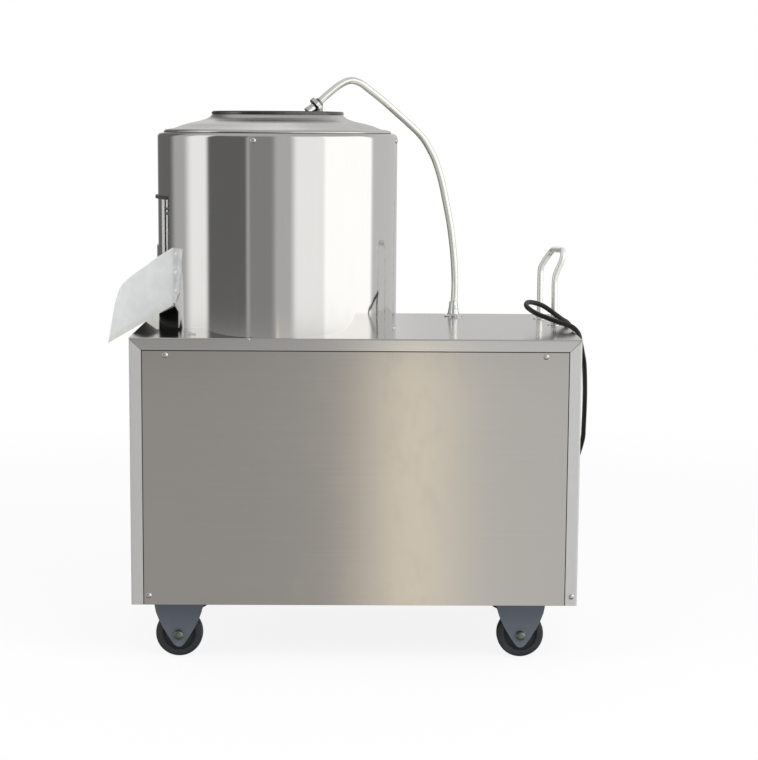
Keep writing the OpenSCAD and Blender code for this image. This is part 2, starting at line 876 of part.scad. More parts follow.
module gate_guides() {
    lip_y = gate_half - 6;
    guide_z0 = gate_z0 - 3;
    color("silver") at_drum() {
        both_sides() {
            wall_strip(guide_r + guide_t, drum_r, gate_half + loose, guide_half, guide_z0, guide_top_z);
            wall_strip(guide_r + guide_t, guide_r, lip_y, gate_half + loose + weld,
                       guide_z0, guide_top_z);
            // A stop at the foot that the gate rests on
            wall_strip(guide_r + weld, drum_r, lip_y, gate_half + loose + weld,
                       guide_z0, gate_z0 - fit);
        }
        // A cross strip at the top of the travel
        wall_strip(guide_r + guide_t, drum_r, -guide_half, guide_half,
                   guide_top_z - weld, guide_top_z + 5);
    }
}

module discharge_gate() {
    color("silver") at_drum()
        difference() {
            wall_strip(gate_r + gate_t, gate_r, -gate_half, gate_half, gate_z0, gate_z0 + gate_h);
            for (y = [-pin_y, pin_y])
                translate([-gate_r - gate_t, y, gate_handle_z])
                    rotate([0, -90, 0])
                        cylinder(d = pin_d + fit, h = 30, center = true);
        }
}

gate_handle_z = sill_z + 22;
pin_y = 30;
pin_d = 5;

// A flat bar on two pins that pass through the gate
module gate_handle() {
    pin_x = sqrt(pow(gate_r, 2) - pow(pin_y - pin_d/2, 2));
    bar_x = gate_r + gate_t + 19;
    color("silver") at_drum() {
        for (y = [-pin_y, pin_y])
            translate([-pin_x, y, gate_handle_z])
                rotate([0, -90, 0])
                    cylinder(d = pin_d, h = bar_x + 1 - pin_x);
        translate([-bar_x - 5, -pin_y - 10, gate_handle_z - 6])
            cube([5, 2*pin_y + 20, 12]);
    }
}

// ---- Bearings, shaft and turntable ----

housing_top_z = top_z - sheet_t;
housing_foot_z = housing_top_z - housing_flange_t - housing_h;
upper_bearing_z = housing_top_z - seal_t - bearing_w - 6;
lower_bearing_z = housing_foot_z + 4;

module bearing_housing() {
    color("slategray") at_drum()
        difference() {
            union() {
                translate([0, 0, housing_foot_z])
                    cylinder(d = bearing_d + 2*housing_wall, h = housing_h + weld);
                translate([0, 0, housing_top_z - housing_flange_t])
                    cylinder(d = housing_flange_d, h = housing_flange_t);
                for (a = [0 : 90 : 270])
                    rotate(a)
                        translate([0, -4, housing_top_z - housing_flange_t - 50])
                            cube([bearing_d/2 + housing_wall + 8, 8, 50 + weld]);
            }
            translate([0, 0, lower_bearing_z])
                cylinder(d = bearing_d + 2*fit, h = housing_h + 20);
            translate([0, 0, housing_foot_z - 1])
                cylinder(d = bearing_d - 10, h = 10);
            for (a = [45 : 90 : 315])
                rotate(a)
                    translate([housing_pcd/2, 0, housing_top_z - 2*housing_flange_t])
                        cylinder(d = housing_bolt_d + bolt_play, h = 3*housing_flange_t);
        }
}

module bearing() {
    rotate_extrude()
        polygon([
            [shaft_d/2 + fit, 0], [bearing_d/2, 0], [bearing_d/2, bearing_w],
            [bearing_d/2 - 6, bearing_w], [bearing_d/2 - 7, bearing_w - 1.5],
            [shaft_d/2 + 6, bearing_w - 1.5], [shaft_d/2 + 5, bearing_w],
            [shaft_d/2 + fit, bearing_w]
        ]);
}

module upper_bearing() {
    color("gainsboro") at_drum()
        translate([0, 0, upper_bearing_z])
            bearing();
}

module lower_bearing() {
    color("gainsboro") at_drum()
        translate([0, 0, lower_bearing_z])
            bearing();
}

module shaft_seal() {
    color("black") at_drum()
        translate([0, 0, housing_top_z - seal_t])
            ring(bearing_d/2, shaft_d/2 + fit, seal_t);
}

module main_shaft() {
    color("lightgray") at_drum() {
        translate([0, 0, rotor_foot_z])
            cylinder(d = shaft_d, h = nut_z + 14 - rotor_foot_z);
        // Shoulders on both sides of the bearings carry the rotor's weight
        translate([0, 0, lower_bearing_z - 14])
            cylinder(d = shaft_d + 8, h = 14 - loose);
        translate([0, 0, upper_bearing_z + bearing_w + loose])
            cylinder(d = shaft_d + 8, h = 4);
        // A nut under the driven pulley
        translate([0, 0, rotor_foot_z + 2])
            cylinder(d = 46, h = 12, $fn = 6);
        // A collar that the turntable's hub sits on
        translate([0, 0, floor_z + 1])
            cylinder(d = shaft_d + 8, h = 4);
    }
}

module turntable() {
    color("gray") at_drum()
        difference() {
            union() {
                translate([0, 0, turntable_z])
                    cylinder(r = turntable_r, h = turntable_t, $fn = 96);
                translate([0, 0, floor_z + 5])
                    cylinder(r = hub_r, h = turntable_z - floor_z - 5 + weld);
            }
            translate([0, 0, floor_z - 1])
                cylinder(d = shaft_d + 2*fit, h = 60);
        }
}

// The abrasive layer, with three rounded ridges that lift and turn the potatoes
module abrasive_disc() {
    ridge_r = 24;
    ridge_up = 14;
    color("darkslategray") at_drum()
        difference() {
            intersection() {
                union() {
                    translate([0, 0, abrasive_z])
                        cylinder(r = turntable_r, h = abrasive_t, $fn = 96);
                    for (a = [0 : 120 : 240])
                        rotate(a)
                            translate([40, 0, abrasive_z + abrasive_t + ridge_up - ridge_r])
                                rotate([0, 90, 0])
                                    cylinder(r = ridge_r, h = turntable_r - 40 + 5);
                }
                translate([0, 0, abrasive_z])
                    cylinder(r = turntable_r, h = 60, $fn = 96);
            }
            translate([0, 0, abrasive_z - 1])
                cylinder(d = shaft_d + 2*fit, h = 60);
        }
}

module shaft_nut() {
    color("silver") at_drum()
        difference() {
            union() {
                translate([0, 0, nut_z])
                    cylinder(r = 26, h = 4);
                translate([0, 0, nut_z + 4 - weld])
                    cylinder(d1 = 44, d2 = 28, h = 18);
            }
            translate([0, 0, nut_z - 1])
                cylinder(d = shaft_d + 2*fit, h = 15 + fit);
        }
}

module driven_pulley() {
    color("dimgray") at_drum()
        translate([0, 0, belt_z])
            difference() {
                pulley(driven_d, shaft_d, 70, 8);
                for (a = [0 : 60 : 300])
                    rotate(a)
                        translate([(driven_d/2 - groove_depth + 35)/2, 0, -pulley_w])
                            cylinder(r = 16, h = 2*pulley_w);
            }
}

module v_belt() {
    color("black") at_drum()
        translate([0, 0, belt_z])
            rotate(belt_turn) {
                rotate(belt_wrap)
                    rotate_extrude(angle = 360 - 2*belt_wrap)
                        polygon(belt_section(driven_d/2));
                translate([belt_l, 0, 0])
                    rotate(-belt_wrap)
                        rotate_extrude(angle = 2*belt_wrap)
                            polygon(belt_section(motor_pulley_d/2));
                both_sides()
                    rotate(belt_wrap)
                        rotate([90, 0, 0])
                            linear_extrude(belt_l*sin(belt_wrap))
                                polygon(belt_section(driven_d/2));
            }
}

// ---- Motor ----

module motor_plate() {
    plate_x = 2*(motor_gap_x + tube_w/2 - 2);
    plate_y = 230;
    color("slategray") at_motor()
        difference() {
            translate([-plate_x/2, -plate_y/2, motor_plate_z])
                cube([plate_x, plate_y, motor_plate_t]);
            translate([0, 0, motor_plate_z - 1])
                cylinder(d = 90, h = motor_plate_t + 2);
            for (a = [45 : 90 : 315])
                rotate(a)
                    translate([motor_pcd/2, 0, motor_plate_z - 1])
                        cylinder(d = motor_bolt_d + bolt_play, h = motor_plate_t + 2);
        }
}

module motor_body() {
    core_r = motor_d/2 - fin_h;
    color("slategray") at_motor()
        difference() {
            union() {
                translate([0, 0, motor_z])
                    cylinder(d = motor_flange_d, h = motor_flange_t);
                translate([0, 0, motor_z + weld])
                    cylinder(r = core_r, h = motor_l - weld);
                for (i = [0 : fin_count - 1])
                    rotate((i + 0.5)*360/fin_count)
                        translate([core_r - 4, -1.5, motor_z + motor_flange_t - weld])
                            cube([fin_h + 4, 3, motor_l - motor_flange_t - 8]);
            }
            translate([0, 0, motor_z - 1])
                cylinder(d = motor_shaft_d + 2*loose, h = motor_l - 10);
            for (a = [45 : 90 : 315])
                rotate(a)
                    translate([motor_pcd/2, 0, motor_z - 1])
                        cylinder(d = motor_bolt_d + bolt_play, h = motor_flange_t + 2);
        }
}

module motor_fan_cover() {
    spoke_l = motor_d + 20;
    color("dimgray") at_motor()
        difference() {
            translate([0, 0, motor_z + motor_l])
                cylinder(d = motor_d - 4, h = fan_cover_l);
            translate([0, 0, motor_z + motor_l + 6])
                cylinder(d = motor_d - 8, h = fan_cover_l - 8);
            for (r = [20 : 14 : 62])
                translate([0, 0, motor_z + motor_l + fan_cover_l - 5])
                    difference() {
                        ring(r + 3, r - 3, 10);
                        for (a = [0, 60, 120])
                            rotate(a)
                                translate([-spoke_l/2, -3, -1])
                                    cube([spoke_l, 6, 12]);
                    }
        }
}

terminal_w = 90;
terminal_t = 40;
terminal_h = 80;
terminal_wall = 5;
terminal_z = motor_z + 50;
terminal_y = motor_d/2 - fin_h - 2;

module terminal_box() {
    color("slategray") at_motor()
        difference() {
            translate([-terminal_w/2, terminal_y, terminal_z])
                cube([terminal_w, terminal_t, terminal_h]);
            translate([0, 0, terminal_z - 10])
                cylinder(r = motor_d/2 + loose, h = terminal_h + 20);
            translate([-terminal_w/2 + terminal_wall, terminal_y + 14, terminal_z + terminal_wall])
                cube([terminal_w - 2*terminal_wall, terminal_t - 14 - terminal_wall,
                      terminal_h - 2*terminal_wall]);
        }
}

module capacitor() {
    capacitor_d = 44;
    capacitor_l = 95;
    capacitor_up = 60;
    foot_up = 36;
    foot_w = 16;
    off_y = motor_d/2 + capacitor_d/2 + 2;
    color("gainsboro") at_motor()
        translate([0, -off_y, motor_z + capacitor_up])
            difference() {
                union() {
                    cylinder(d = capacitor_d, h = capacitor_l);
                    translate([0, 0, capacitor_l - weld])
                        cylinder(d = capacitor_d - 12, h = 6);
                    // The foot that holds it to the motor's frame
                    translate([-foot_w/2, 0, foot_up])
                        cube([foot_w, off_y - motor_d/2 + 16, foot_w]);
                }
                translate([0, off_y, foot_up - 6])
                    cylinder(r = motor_d/2 - fin_h, h = foot_w + 14);
                for (x = [-6, 6])
                    translate([x, 0, capacitor_l + 3])
                        cylinder(r = 2, h = 10);
            }
}

module motor_shaft() {
    color("lightgray") at_motor()
        translate([0, 0, belt_z - pulley_w/2 - 6])
            cylinder(d = motor_shaft_d, h = motor_z + motor_l - 20 - belt_z + pulley_w/2 + 6);
}

module motor_pulley() {
    color("dimgray") at_motor()
        translate([0, 0, belt_z])
            pulley(motor_pulley_d, motor_shaft_d, 44, 6);
}

// Hex bolts: bearing housing, motor flange and casters
module hex_bolts() {
    color("silver") at_drum()
        for (a = [45 : 90 : 315])
            rotate(a)
                translate([housing_pcd/2, 0, floor_z])
                    stud_bolt(housing_bolt_d, floor_t + sheet_t + housing_flange_t);
    color("silver") at_motor()
        for (a = [45 : 90 : 315])
            rotate(a)
                translate([motor_pcd/2, 0, motor_z + motor_flange_t])
                    stud_bolt(motor_bolt_d, motor_flange_t + motor_plate_t);
    color("silver") at_cabinet()
        for (p = wheel_places)
            translate([p[0], p[1], frame_z])
                four_corners(caster_bolt_x, caster_bolt_y)
                    stud_bolt(caster_bolt_d, corner_plate_t + caster_plate_t);
}

// A bolt through a stack of the given thickness: head above, nut below
module stud_bolt(d, stack) {
    cylinder(d = 1.7*d, h = 0.6*d, $fn = 6);
    translate([0, 0, -stack - 0.7*d])
        cylinder(d = d, h = stack + 0.7*d + weld);
    translate([0, 0, -stack - 0.6*d])
        cylinder(d = 1.7*d, h = 0.6*d, $fn = 6);
}

// ---- Drain and water ----

// Down from the drum's floor, round an elbow and out at the back, where the pipe's stepped end
// takes a drain hose
module drain_pipe() {
    r = drain_d/2;
    length = half_d + rear_reach - drum_off_y - drain_off_y;
    spigot_l = rear_reach - collar_t - 2;
    color("gainsboro") at_drum()
        translate([0, drain_off_y, 0])
            difference() {
                union() {
                    translate([0, 0, drain_z])
                        cylinder(r = r, h = floor_z - drain_z);
                    translate([0, 0, drain_z])
                        rotate([-90, 0, 0]) {
                            cylinder(r = r - 0.2, h = length - spigot_l);
                            cylinder(r = r - 0.2 - spigot_step, h = length);
                        }
                    translate([0, 0, drain_z])
                        sphere(r = r + 4);
                }
                translate([0, 0, drain_z])
                    cylinder(r = r - drain_t, h = floor_z - drain_z + 1);
                translate([0, 0, drain_z])
                    rotate([-90, 0, 0])
                        cylinder(r = r - drain_t - 0.4, h = length + 1);
            }
}

module drain_collar() {
    color("gray") at_cabinet()
        translate([drum_off_x, half_d, drain_z])
            rotate([-90, 0, 0])
                difference() {
                    cylinder(d = drain_d + 22, h = collar_t, $fn = 8);
                    translate([0, 0, -1])
                        cylinder(d = drain_d + 2*fit, h = collar_t + 2);
                }
}

module water_inlet() {
    color("gold") at_cabinet()
        translate([hose_x, half_d, inlet_z])
            rotate([-90, 0, 0])
                difference() {
                    union() {
                        cylinder(d = inlet_d + 12, h = 8, $fn = 6);
                        translate([0, 0, 8 - weld])
                            cylinder(d = inlet_d + 4, h = 10);
                        cylinder(d = inlet_d, h = rear_reach);
                        translate([0, 0, -sheet_t - 22])
                            cylinder(d = inlet_d, h = sheet_t + 23);
                        translate([0, 0, -sheet_t - 6])
                            cylinder(d = inlet_d + 10, h = 6, $fn = 6);
                    }
                    translate([0, 0, -40])
                        cylinder(d = pipe_d + 2*fit, h = 100);
                }
}

module water_pipe() {
    points = [
        [hose_x, half_d - sheet_t - 8, inlet_z], [hose_x, half_d - 24, inlet_z],
        [hose_x, half_d - 34, inlet_z + 2], [hose_x, hose_y + 3, inlet_z + 10],
        [hose_x, hose_y, inlet_z + 22], [hose_x, hose_y, inlet_z + 40],
        [hose_x, hose_y, top_z]
    ];
    color("gold") at_cabinet()
        rod_along(curve(points, 3), pipe_d, 16);
}

module hose_fitting() {
    color("silver") at_cabinet()
        translate([hose_x, hose_y, top_z]) {
            cylinder(d = fitting_d, h = 3);
            translate([0, 0, 3 - weld])
                cylinder(d1 = fitting_d - 8, d2 = hose_d + 2, h = fitting_h - 3);
        }
}

module spray_hose() {
    color("lightyellow") at_cabinet()
        rod_along(curve(hose_points, 2), hose_d, 14);
}

cone_d1 = 13;
cone_d2 = 21;
cone_l = 19;

module spray_nozzle() {
    color("silver") at_cabinet()
        translate(hose_end)
            facing(nozzle_dir) {
                cylinder(d = hose_d + 4, h = 5);
                translate([0, 0, 5 - weld])
                    cylinder(d1 = cone_d1, d2 = cone_d2, h = cone_l);
                translate([0, 0, 5 + cone_l - 2*weld])
                    cylinder(d = 12, h = nozzle_l - cone_l - 5);
            }
}

// The clip that hooks over the lid's rim and holds the nozzle
module nozzle_clip() {
    hold = hose_end + 19.5*nozzle_dir;
    out = [hold[0] - drum_off_x, hold[1] - drum_off_y];
    color("silver") at_cabinet()
        difference() {
            union() {
                translate(hold - 3*nozzle_dir)
                    facing(nozzle_dir)
                        cylinder(d = cone_d2 + 4, h = 6);
                translate([drum_off_x, drum_off_y, 0])
                    rotate(atan2(out[1], out[0])) {
                        translate([rim_r - 6, -5, rim_z])
                            cube([16, 10, hold[2] - rim_z]);
                        translate([rim_r + fit, -5, rim_z - 4])
                            cube([4, 10, 4 + weld]);
                    }
            }
            translate(hose_end + (5 - weld)*nozzle_dir)
                facing(nozzle_dir)
                    cylinder(d1 = cone_d1 + 2*fit, d2 = cone_d2 + 2*fit, h = cone_l);
            translate(hose_end + 20*nozzle_dir)
                facing(nozzle_dir)
                    cylinder(d = 12 + 2*fit, h = 30);
        }
}

// ---- Handle, switch box and cord ----

module push_handle() {
    color("gainsboro") at_cabinet()
        rod_along(curve(handle_points, 3), handle_d, 16);
}

module handle_feet() {
    color("gainsboro") at_cabinet()
        for (p = [handle_points[0], handle_points[len(handle_points) - 1]])
            translate([p[0], p[1], top_z])
                ring(handle_d/2 + 6, handle_d/2 + fit, 4);
}

module switch_box() {
    color("darkgray") at_cabinet()
        difference() {
            translate([half_w, switch_y - switch_w/2, switch_z - switch_h/2])
                cube([switch_box_t, switch_w, switch_h]);
            translate([half_w - 1, switch_y - switch_w/2 + switch_wall,
                       switch_z - switch_h/2 + switch_wall])
                cube([switch_box_t + 1 - switch_wall, switch_w - 2*switch_wall,
                      switch_h - 2*switch_wall]);
            for (z = [start_z, stop_z])
                translate([half_w, switch_y, z])
                    rotate([0, 90, 0])
                        cylinder(d = button_d + 2*loose, h = switch_box_t + 1);
        }
}

module button(z) {
    translate([half_w + switch_box_t, switch_y, z])
        rotate([0, 90, 0]) {
            translate([0, 0, -switch_wall - button_travel - 1])
                cylinder(d = button_d, h = switch_wall + button_travel + 1 + button_out);
            translate([0, 0, -switch_wall - 6])
                cylinder(d = button_d + 4, h = 6 - loose);
        }
}

module start_button() {
    color("green") at_cabinet()
        button(start_z);
}

module stop_button() {
    color("red") at_cabinet()
        button(stop_z);
}

// The leads from the gland to the switch, and from the switch to the motor
module wiring() {
    lead_d = 7;
    rise = switch_z - gland_z;
    start_x = half_w - gland_in - loose;
    rise_x = half_w - 6*lead_d;
    lead_in = [
        [start_x, gland_y, gland_z], [start_x - 1.5*lead_d, gland_y, gland_z],
        [start_x - 3*lead_d, gland_y, gland_z + lead_d],
        [rise_x, gland_y - 2, gland_z + 0.23*rise], [rise_x, gland_y - 6, gland_z + 0.5*rise],
        [rise_x, gland_y - 12, gland_z + 0.82*rise],
        [half_w - 4*lead_d, switch_y, switch_z - 1.5*lead_d],
        [half_w - 2*lead_d, switch_y, switch_z], [half_w + 4, switch_y, switch_z]
    ];
    side_y = switch_y - 9;
    box_x = motor_off_x + terminal_w/2 + loose;
    box_y = motor_off_y + terminal_y + terminal_t/2 + 12;
    box_z = terminal_z + terminal_h/2;
    lead_out = [
        [half_w + 4, side_y, switch_z], [half_w - 2*lead_d, side_y, switch_z],
        [half_w - 7*lead_d, side_y - lead_d, switch_z - 3*lead_d],
        [half_w - 9.5*lead_d, side_y - 2*lead_d, switch_z - 9*lead_d],
        [half_w - 11.5*lead_d, box_y, box_z + 2*lead_d], [box_x + 2*lead_d, box_y, box_z],
        [box_x, box_y, box_z]
    ];
    color("black") at_cabinet() {
        rod_along(curve(lead_in, 3), lead_d, 8);
        rod_along(curve(lead_out, 3), lead_d, 8);
    }
}

module cable_gland() {
    color("black") at_cabinet() {
        translate([half_w - gland_in, gland_y, gland_z])
            rotate([0, 90, 0])
                cylinder(d = 14, h = gland_in + 1);
        translate([half_w - sheet_t - 5, gland_y, gland_z])
            rotate([0, 90, 0])
                cylinder(d = 22, h = 5, $fn = 6);
        translate([half_w, gland_y, gland_z])
            rotate([0, 90, 0])
                cylinder(d = 24, h = 5);
        translate([half_w + 5 - weld, gland_y, gland_z])
            rotate([0, 90, 0])
                cylinder(d = 16, h = gland_x - half_w - 5 + weld);
        translate([gland_x, gland_y, gland_z])
            sphere(d = 16, $fn = 32);
        translate([gland_x, gland_y, gland_z])
            facing(boot_dir)
                cylinder(d1 = 15.5, d2 = cord_d + 2, h = boot_l);
    }
}

module power_cord() {
    color("black") at_cabinet() {
        rod_along(curve(cord_points, 2), cord_d, 8);
        rod_along(tail_points, cord_d, 8);
    }
}

// The outside of three turns of cord: two on the floor, and one in the groove between them
module cord_coil() {
    color("black") at_cabinet()
        translate([coil_centre[0], coil_centre[1], 0])
            rotate_extrude()
                polygon([
                    [coil_r - cord_d, 0], [coil_r + cord_d, 0], [coil_r + cord_d, cord_d],
                    [coil_r + cord_d/2, 1.87*cord_d], [coil_r - cord_d/2, 1.87*cord_d],
                    [coil_r - cord_d, cord_d]
                ]);
}

module plug_body() {
    color("black") at_cabinet()
        translate(plug_place)
            rotate([0, -90, 0]) {
                cylinder(d1 = cord_d + 3, d2 = 18, h = 26);
                translate([0, 0, 26 - weld])
                    cylinder(d1 = 20, d2 = 24, h = 14);
                translate([-12, -16, 38])
                    cube([24, 32, 12]);
            }
}

module plug_pins() {
    color("gold") at_cabinet()
        translate([plug_place[0] - 50, plug_place[1], plug_place[2]]) {
            for (s = [-1, 1])
                translate([-17, s*7, 1])
                    rotate([s*30, 0, 0])
                        translate([0, -0.8, -3.2])
                            cube([17, 1.6, 6.4]);
            translate([-20, -0.8, -10])
                cube([20, 1.6, 6.4]);
        }
}

// ---- Casters ----

// A fork's side, with its top edge under the caster plate and its tip round the axle
function fork_side() =
    let (top = foot_z - caster_plate_t, h = fork_w/2)
    concat(
        [[-h, top], [-h + 1, top - 14], [-h + 4, top - 22]],
        [for (a = [215 : 13 : 325]) [fork_tip_r*cos(a), axle_z + fork_tip_r*sin(a)]],
        [[h - 4, top - 22], [h - 1, top - 14], [h, top]]);

module caster_fork() {
    top = foot_z - caster_plate_t;
    difference() {
        union() {
            translate([-fork_w/2 - 4, -32, top])
                cube([fork_w + 8, 64, caster_plate_t]);
            translate([-fork_w/2, -fork_gap - fork_t, top - fork_t])
                cube([fork_w, 2*(fork_gap + fork_t), fork_t + weld]);
            both_sides()
                translate([0, -fork_gap, 0])
                    rotate([90, 0, 0])
                        linear_extrude(fork_t)
                            polygon(fork_side());
        }
        translate([0, 0, axle_z])
            rotate([90, 0, 0])
                cylinder(d = axle_d + 2*fit, h = 100, center = true);
        translate([0, 0, top - 1])
            four_corners(caster_bolt_x, caster_bolt_y)
                cylinder(d = caster_bolt_d + bolt_play, h = caster_plate_t + 2);
    }
}

module caster_forks() {
    color("slategray") at_cabinet()
        for (p = wheel_places)
            translate([p[0], p[1], 0])
                caster_fork();
}

module caster_axles() {
    reach = fork_gap + fork_t;
    color("silver") at_cabinet()
        for (p = wheel_places)
            translate([p[0], p[1], axle_z])
                rotate([90, 0, 0]) {
                    cylinder(d = axle_d, h = 2*reach + 10, center = true);
                    translate([0, 0, reach])
                        cylinder(d = 2.3*axle_d, h = 1.6);
                    translate([0, 0, reach + 1.5])
                        cylinder(d = 1.9*axle_d, h = 5.5, $fn = 6);
                    translate([0, 0, -reach - 6.5])
                        cylinder(d = 1.9*axle_d, h = 6.5, $fn = 6);
                }
}

// A rubber-tyred wheel about its axle, which lies along Y
module wheel(i) {
    r = wheel_d/2;
    h = wheel_w/2;
    color("dimgray") at_cabinet()
        translate([wheel_places[i][0], wheel_places[i][1], axle_z])
            rotate([90, 0, 0])
                rotate_extrude()
                    polygon([
                        [axle_d/2 + fit, -h - 1], [axle_d/2 + 5, -h - 1], [axle_d/2 + 5, -h + 3],
                        [r - 12, -h + 3], [r - 11, -h], [r - 4, -h], [r - 1, -h + 3],
                        [r, -h + 8], [r, h - 8], [r - 1, h - 3], [r - 4, h], [r - 11, h],
                        [r - 12, h - 3], [axle_d/2 + 5, h - 3], [axle_d/2 + 5, h + 1],
                        [axle_d/2 + fit, h + 1]
                    ]);
}

module wheel_front_left() { wheel(0); }
module wheel_front_right() { wheel(1); }
module wheel_back_left() { wheel(2); }
module wheel_back_right() { wheel(3); }

// ---- Nodes ----

base_frame();
front_panel();
back_panel();
left_panel();
right_panel();
top_cover();
panel_screws();
drum_shell();
drum_lining();
drum_floor();
lid();
discharge_chute();
chute_rivets();
gate_guides();
bearing_housing();
upper_bearing();
lower_bearing();
shaft_seal();
hex_bolts();
drain_pipe();
drain_collar();
motor_plate();
motor_body();
motor_fan_cover();
terminal_box();
capacitor();
v_belt();
water_inlet();
water_pipe();
hose_fitting();
spray_hose();
spray_nozzle();
nozzle_clip();
push_handle();
handle_feet();
switch_box();
wiring();
cable_gland();
power_cord();
cord_coil();
plug_body();
plug_pins();
caster_forks();
caster_axles();
wheel_front_left();
wheel_front_right();
wheel_back_left();
wheel_back_right();
discharge_gate();
gate_handle();
main_shaft();
turntable();
abrasive_disc();
shaft_nut();
driven_pulley();
motor_shaft();
motor_pulley();
start_button();
stop_button();
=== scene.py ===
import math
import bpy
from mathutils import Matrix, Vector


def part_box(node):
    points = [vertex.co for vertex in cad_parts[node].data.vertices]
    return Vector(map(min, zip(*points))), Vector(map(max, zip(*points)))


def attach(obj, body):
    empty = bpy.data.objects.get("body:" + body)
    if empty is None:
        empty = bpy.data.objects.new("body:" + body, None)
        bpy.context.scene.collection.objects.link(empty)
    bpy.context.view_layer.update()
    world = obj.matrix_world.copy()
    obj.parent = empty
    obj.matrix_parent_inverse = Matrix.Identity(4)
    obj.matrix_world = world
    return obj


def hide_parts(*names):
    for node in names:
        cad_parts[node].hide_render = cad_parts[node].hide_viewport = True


bl_info = {
    "name": "Electric potato peeler",
    "version": (1, 0, 0),
    "blender": (4, 5, 0),
    "location": "3D View > Sidebar > Peeler",
    "description": "Dresses the frame of a wheeled potato peeler with its sheets, drum, hose and cord",
    "category": "Object",
}

import bmesh
import bpy
from mathutils import Matrix, Vector

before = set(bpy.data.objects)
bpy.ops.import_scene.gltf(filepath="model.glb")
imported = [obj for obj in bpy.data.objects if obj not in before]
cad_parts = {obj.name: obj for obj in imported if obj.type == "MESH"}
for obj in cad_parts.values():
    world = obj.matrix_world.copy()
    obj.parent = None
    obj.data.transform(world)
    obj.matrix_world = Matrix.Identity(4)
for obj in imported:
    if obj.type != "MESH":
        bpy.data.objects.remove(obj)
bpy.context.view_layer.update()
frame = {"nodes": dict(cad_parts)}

MM = 0.001

# ---- Places, in millimetres from the middle of the cabinet's foot ----

wall_low, wall_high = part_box("left_panel")
_, far_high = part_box("right_panel")
middle_x = (wall_low.x + far_high.x)/2
middle_y = (wall_low.y + wall_high.y)/2

HALF_W, HALF_D = 350, 205
FOOT, TOP = 97, 518
SHEET = 1.5
FLANGE = 19
GAP = 0.8
DRUM_X, DRUM_Y = -128, -7
DRUM_R = 194
SEAM = 831
LID_H = 35
SILL = 564
OPENING_H, OPENING_HALF = 82, 82
GUIDE_LOW, GUIDE_HIGH = 556, 726
CHUTE_HALF = 109
CHUTE_ROOT = -160.5
CHUTE_TIP = -264.5
CHUTE_ROOT_Z, CHUTE_TIP_Z = 562, 501
WHEELS = {
    "front_left": (-280, -145),
    "front_right": (266, -145),
    "back_left": (-280, 145),
    "back_right": (266, 145),
}
AXLE = 37.5
FORK_HALF = 39.5
FORK_T = 2.5
FORK_GAP = 14
SWITCH_Y, SWITCH_Z = 135, 435
BUTTONS = {"start": 452, "stop": 418}

HOSE_POINTS = [
    (171, 159, 544), (172, 160, 576), (170, 159, 615), (166, 158, 652), (161, 156, 684),
    (154, 154, 718), (146, 151, 753), (136, 148, 784), (125, 144, 806), (111, 139, 827),
    (89, 132, 848), (67, 124, 867), (45, 117, 886), (23, 110, 903), (8, 105, 914),
    (-6, 100, 919), (-18, 96, 917), (-33, 91, 908), (-45, 87, 898), (-53, 84, 891),
]
NOZZLE_DIR = (-0.72, -0.24, -0.65)
HANDLE_POINTS = [
    (330, 20, 518), (330, 20, 560), (330, 20, 592), (333, 20, 606), (340, 20, 622), (343, 22, 634),
    (343, 32, 641), (340, 70, 640), (337, 106, 638), (335, 116, 635), (330, 120, 628),
    (322, 120, 616), (317, 120, 606), (316, 120, 594), (316, 120, 560), (316, 120, 518),
]
CORD_POINTS = [
    (372, 138, 239), (380, 127, 256), (390, 90, 310), (389, 65, 342), (383, 12, 403),
    (374, -44, 457), (368, -63, 481), (363, -75, 499), (359, -77, 514), (350, -71, 524),
    (338, -61, 528), (324, -52, 532), (310, -47, 537), (296, -42, 542), (285, -31, 548),
    (280, -16, 553), (283, -1, 557), (294, 10, 556), (309, 13, 551), (322, 11, 543),
    (333, 9, 535), (343, 11, 528), (351, 17, 523), (357, 26, 516), (361, 37, 503),
    (361, 50, 484), (359, 63, 452), (357, 83, 365), (358, 100, 260), (362, 126, 152),
    (363, 150, 106), (362, 182, 66), (357, 212, 34), (348, 243, 12), (341, 261, 5),
    (335, 275, 5),
]
COIL_CENTRE = (285, 275)
TAIL_POINTS = [(262, 322, 9), (240, 322, 12), (225, 322, 12)]
PLUG_PLACE = (225, 322, 12)
GLAND = (362, 150, 215)
BOOT_DIR = (0.35, -0.42, 0.84)


def at(x, y, z):
    """A point in metres, from millimetres measured from the middle of the cabinet's foot."""
    return Vector((middle_x + x*MM, middle_y + y*MM, z*MM))


# ---- Modelling by hand, in code ----


def deselect():
    if bpy.context.mode != "OBJECT":
        bpy.ops.object.mode_set(mode="OBJECT")
    bpy.ops.object.select_all(action="DESELECT")


def only(obj):
    deselect()
    obj.select_set(True)
    bpy.context.view_layer.objects.active = obj


def named(name):
    obj = bpy.context.object
    obj.name = name
    obj.data.name = name
    return obj


def edit(obj, kind="EDGE", test=None):
    """Goes into edit mode with all selected, or only what passes a test of its middle and direction."""
    only(obj)
    bpy.ops.object.mode_set(mode="EDIT")
    bpy.ops.mesh.select_mode(type=kind)
    bpy.ops.mesh.select_all(action="SELECT" if test is None else "DESELECT")
    if test is None:
        return
    mesh = bmesh.from_edit_mesh(obj.data)
    if kind == "FACE":
        for face in mesh.faces:
            face.select_set(test(face.calc_center_median(), face.normal))
    else:
        for edge in mesh.edges:
            a, b = (v.co for v in edge.verts)
            edge.select_set(test((a + b)/2, (b - a).normalized()))
    mesh.select_flush_mode()
    bmesh.update_edit_mesh(obj.data)


def outward():
    bpy.ops.mesh.select_all(action="SELECT")
    bpy.ops.mesh.normals_make_consistent(inside=False)
    bpy.ops.object.mode_set(mode="OBJECT")


def soften(obj, angle=35):
    only(obj)
    bpy.ops.object.shade_smooth_by_angle(angle=math.radians(angle))
    return obj


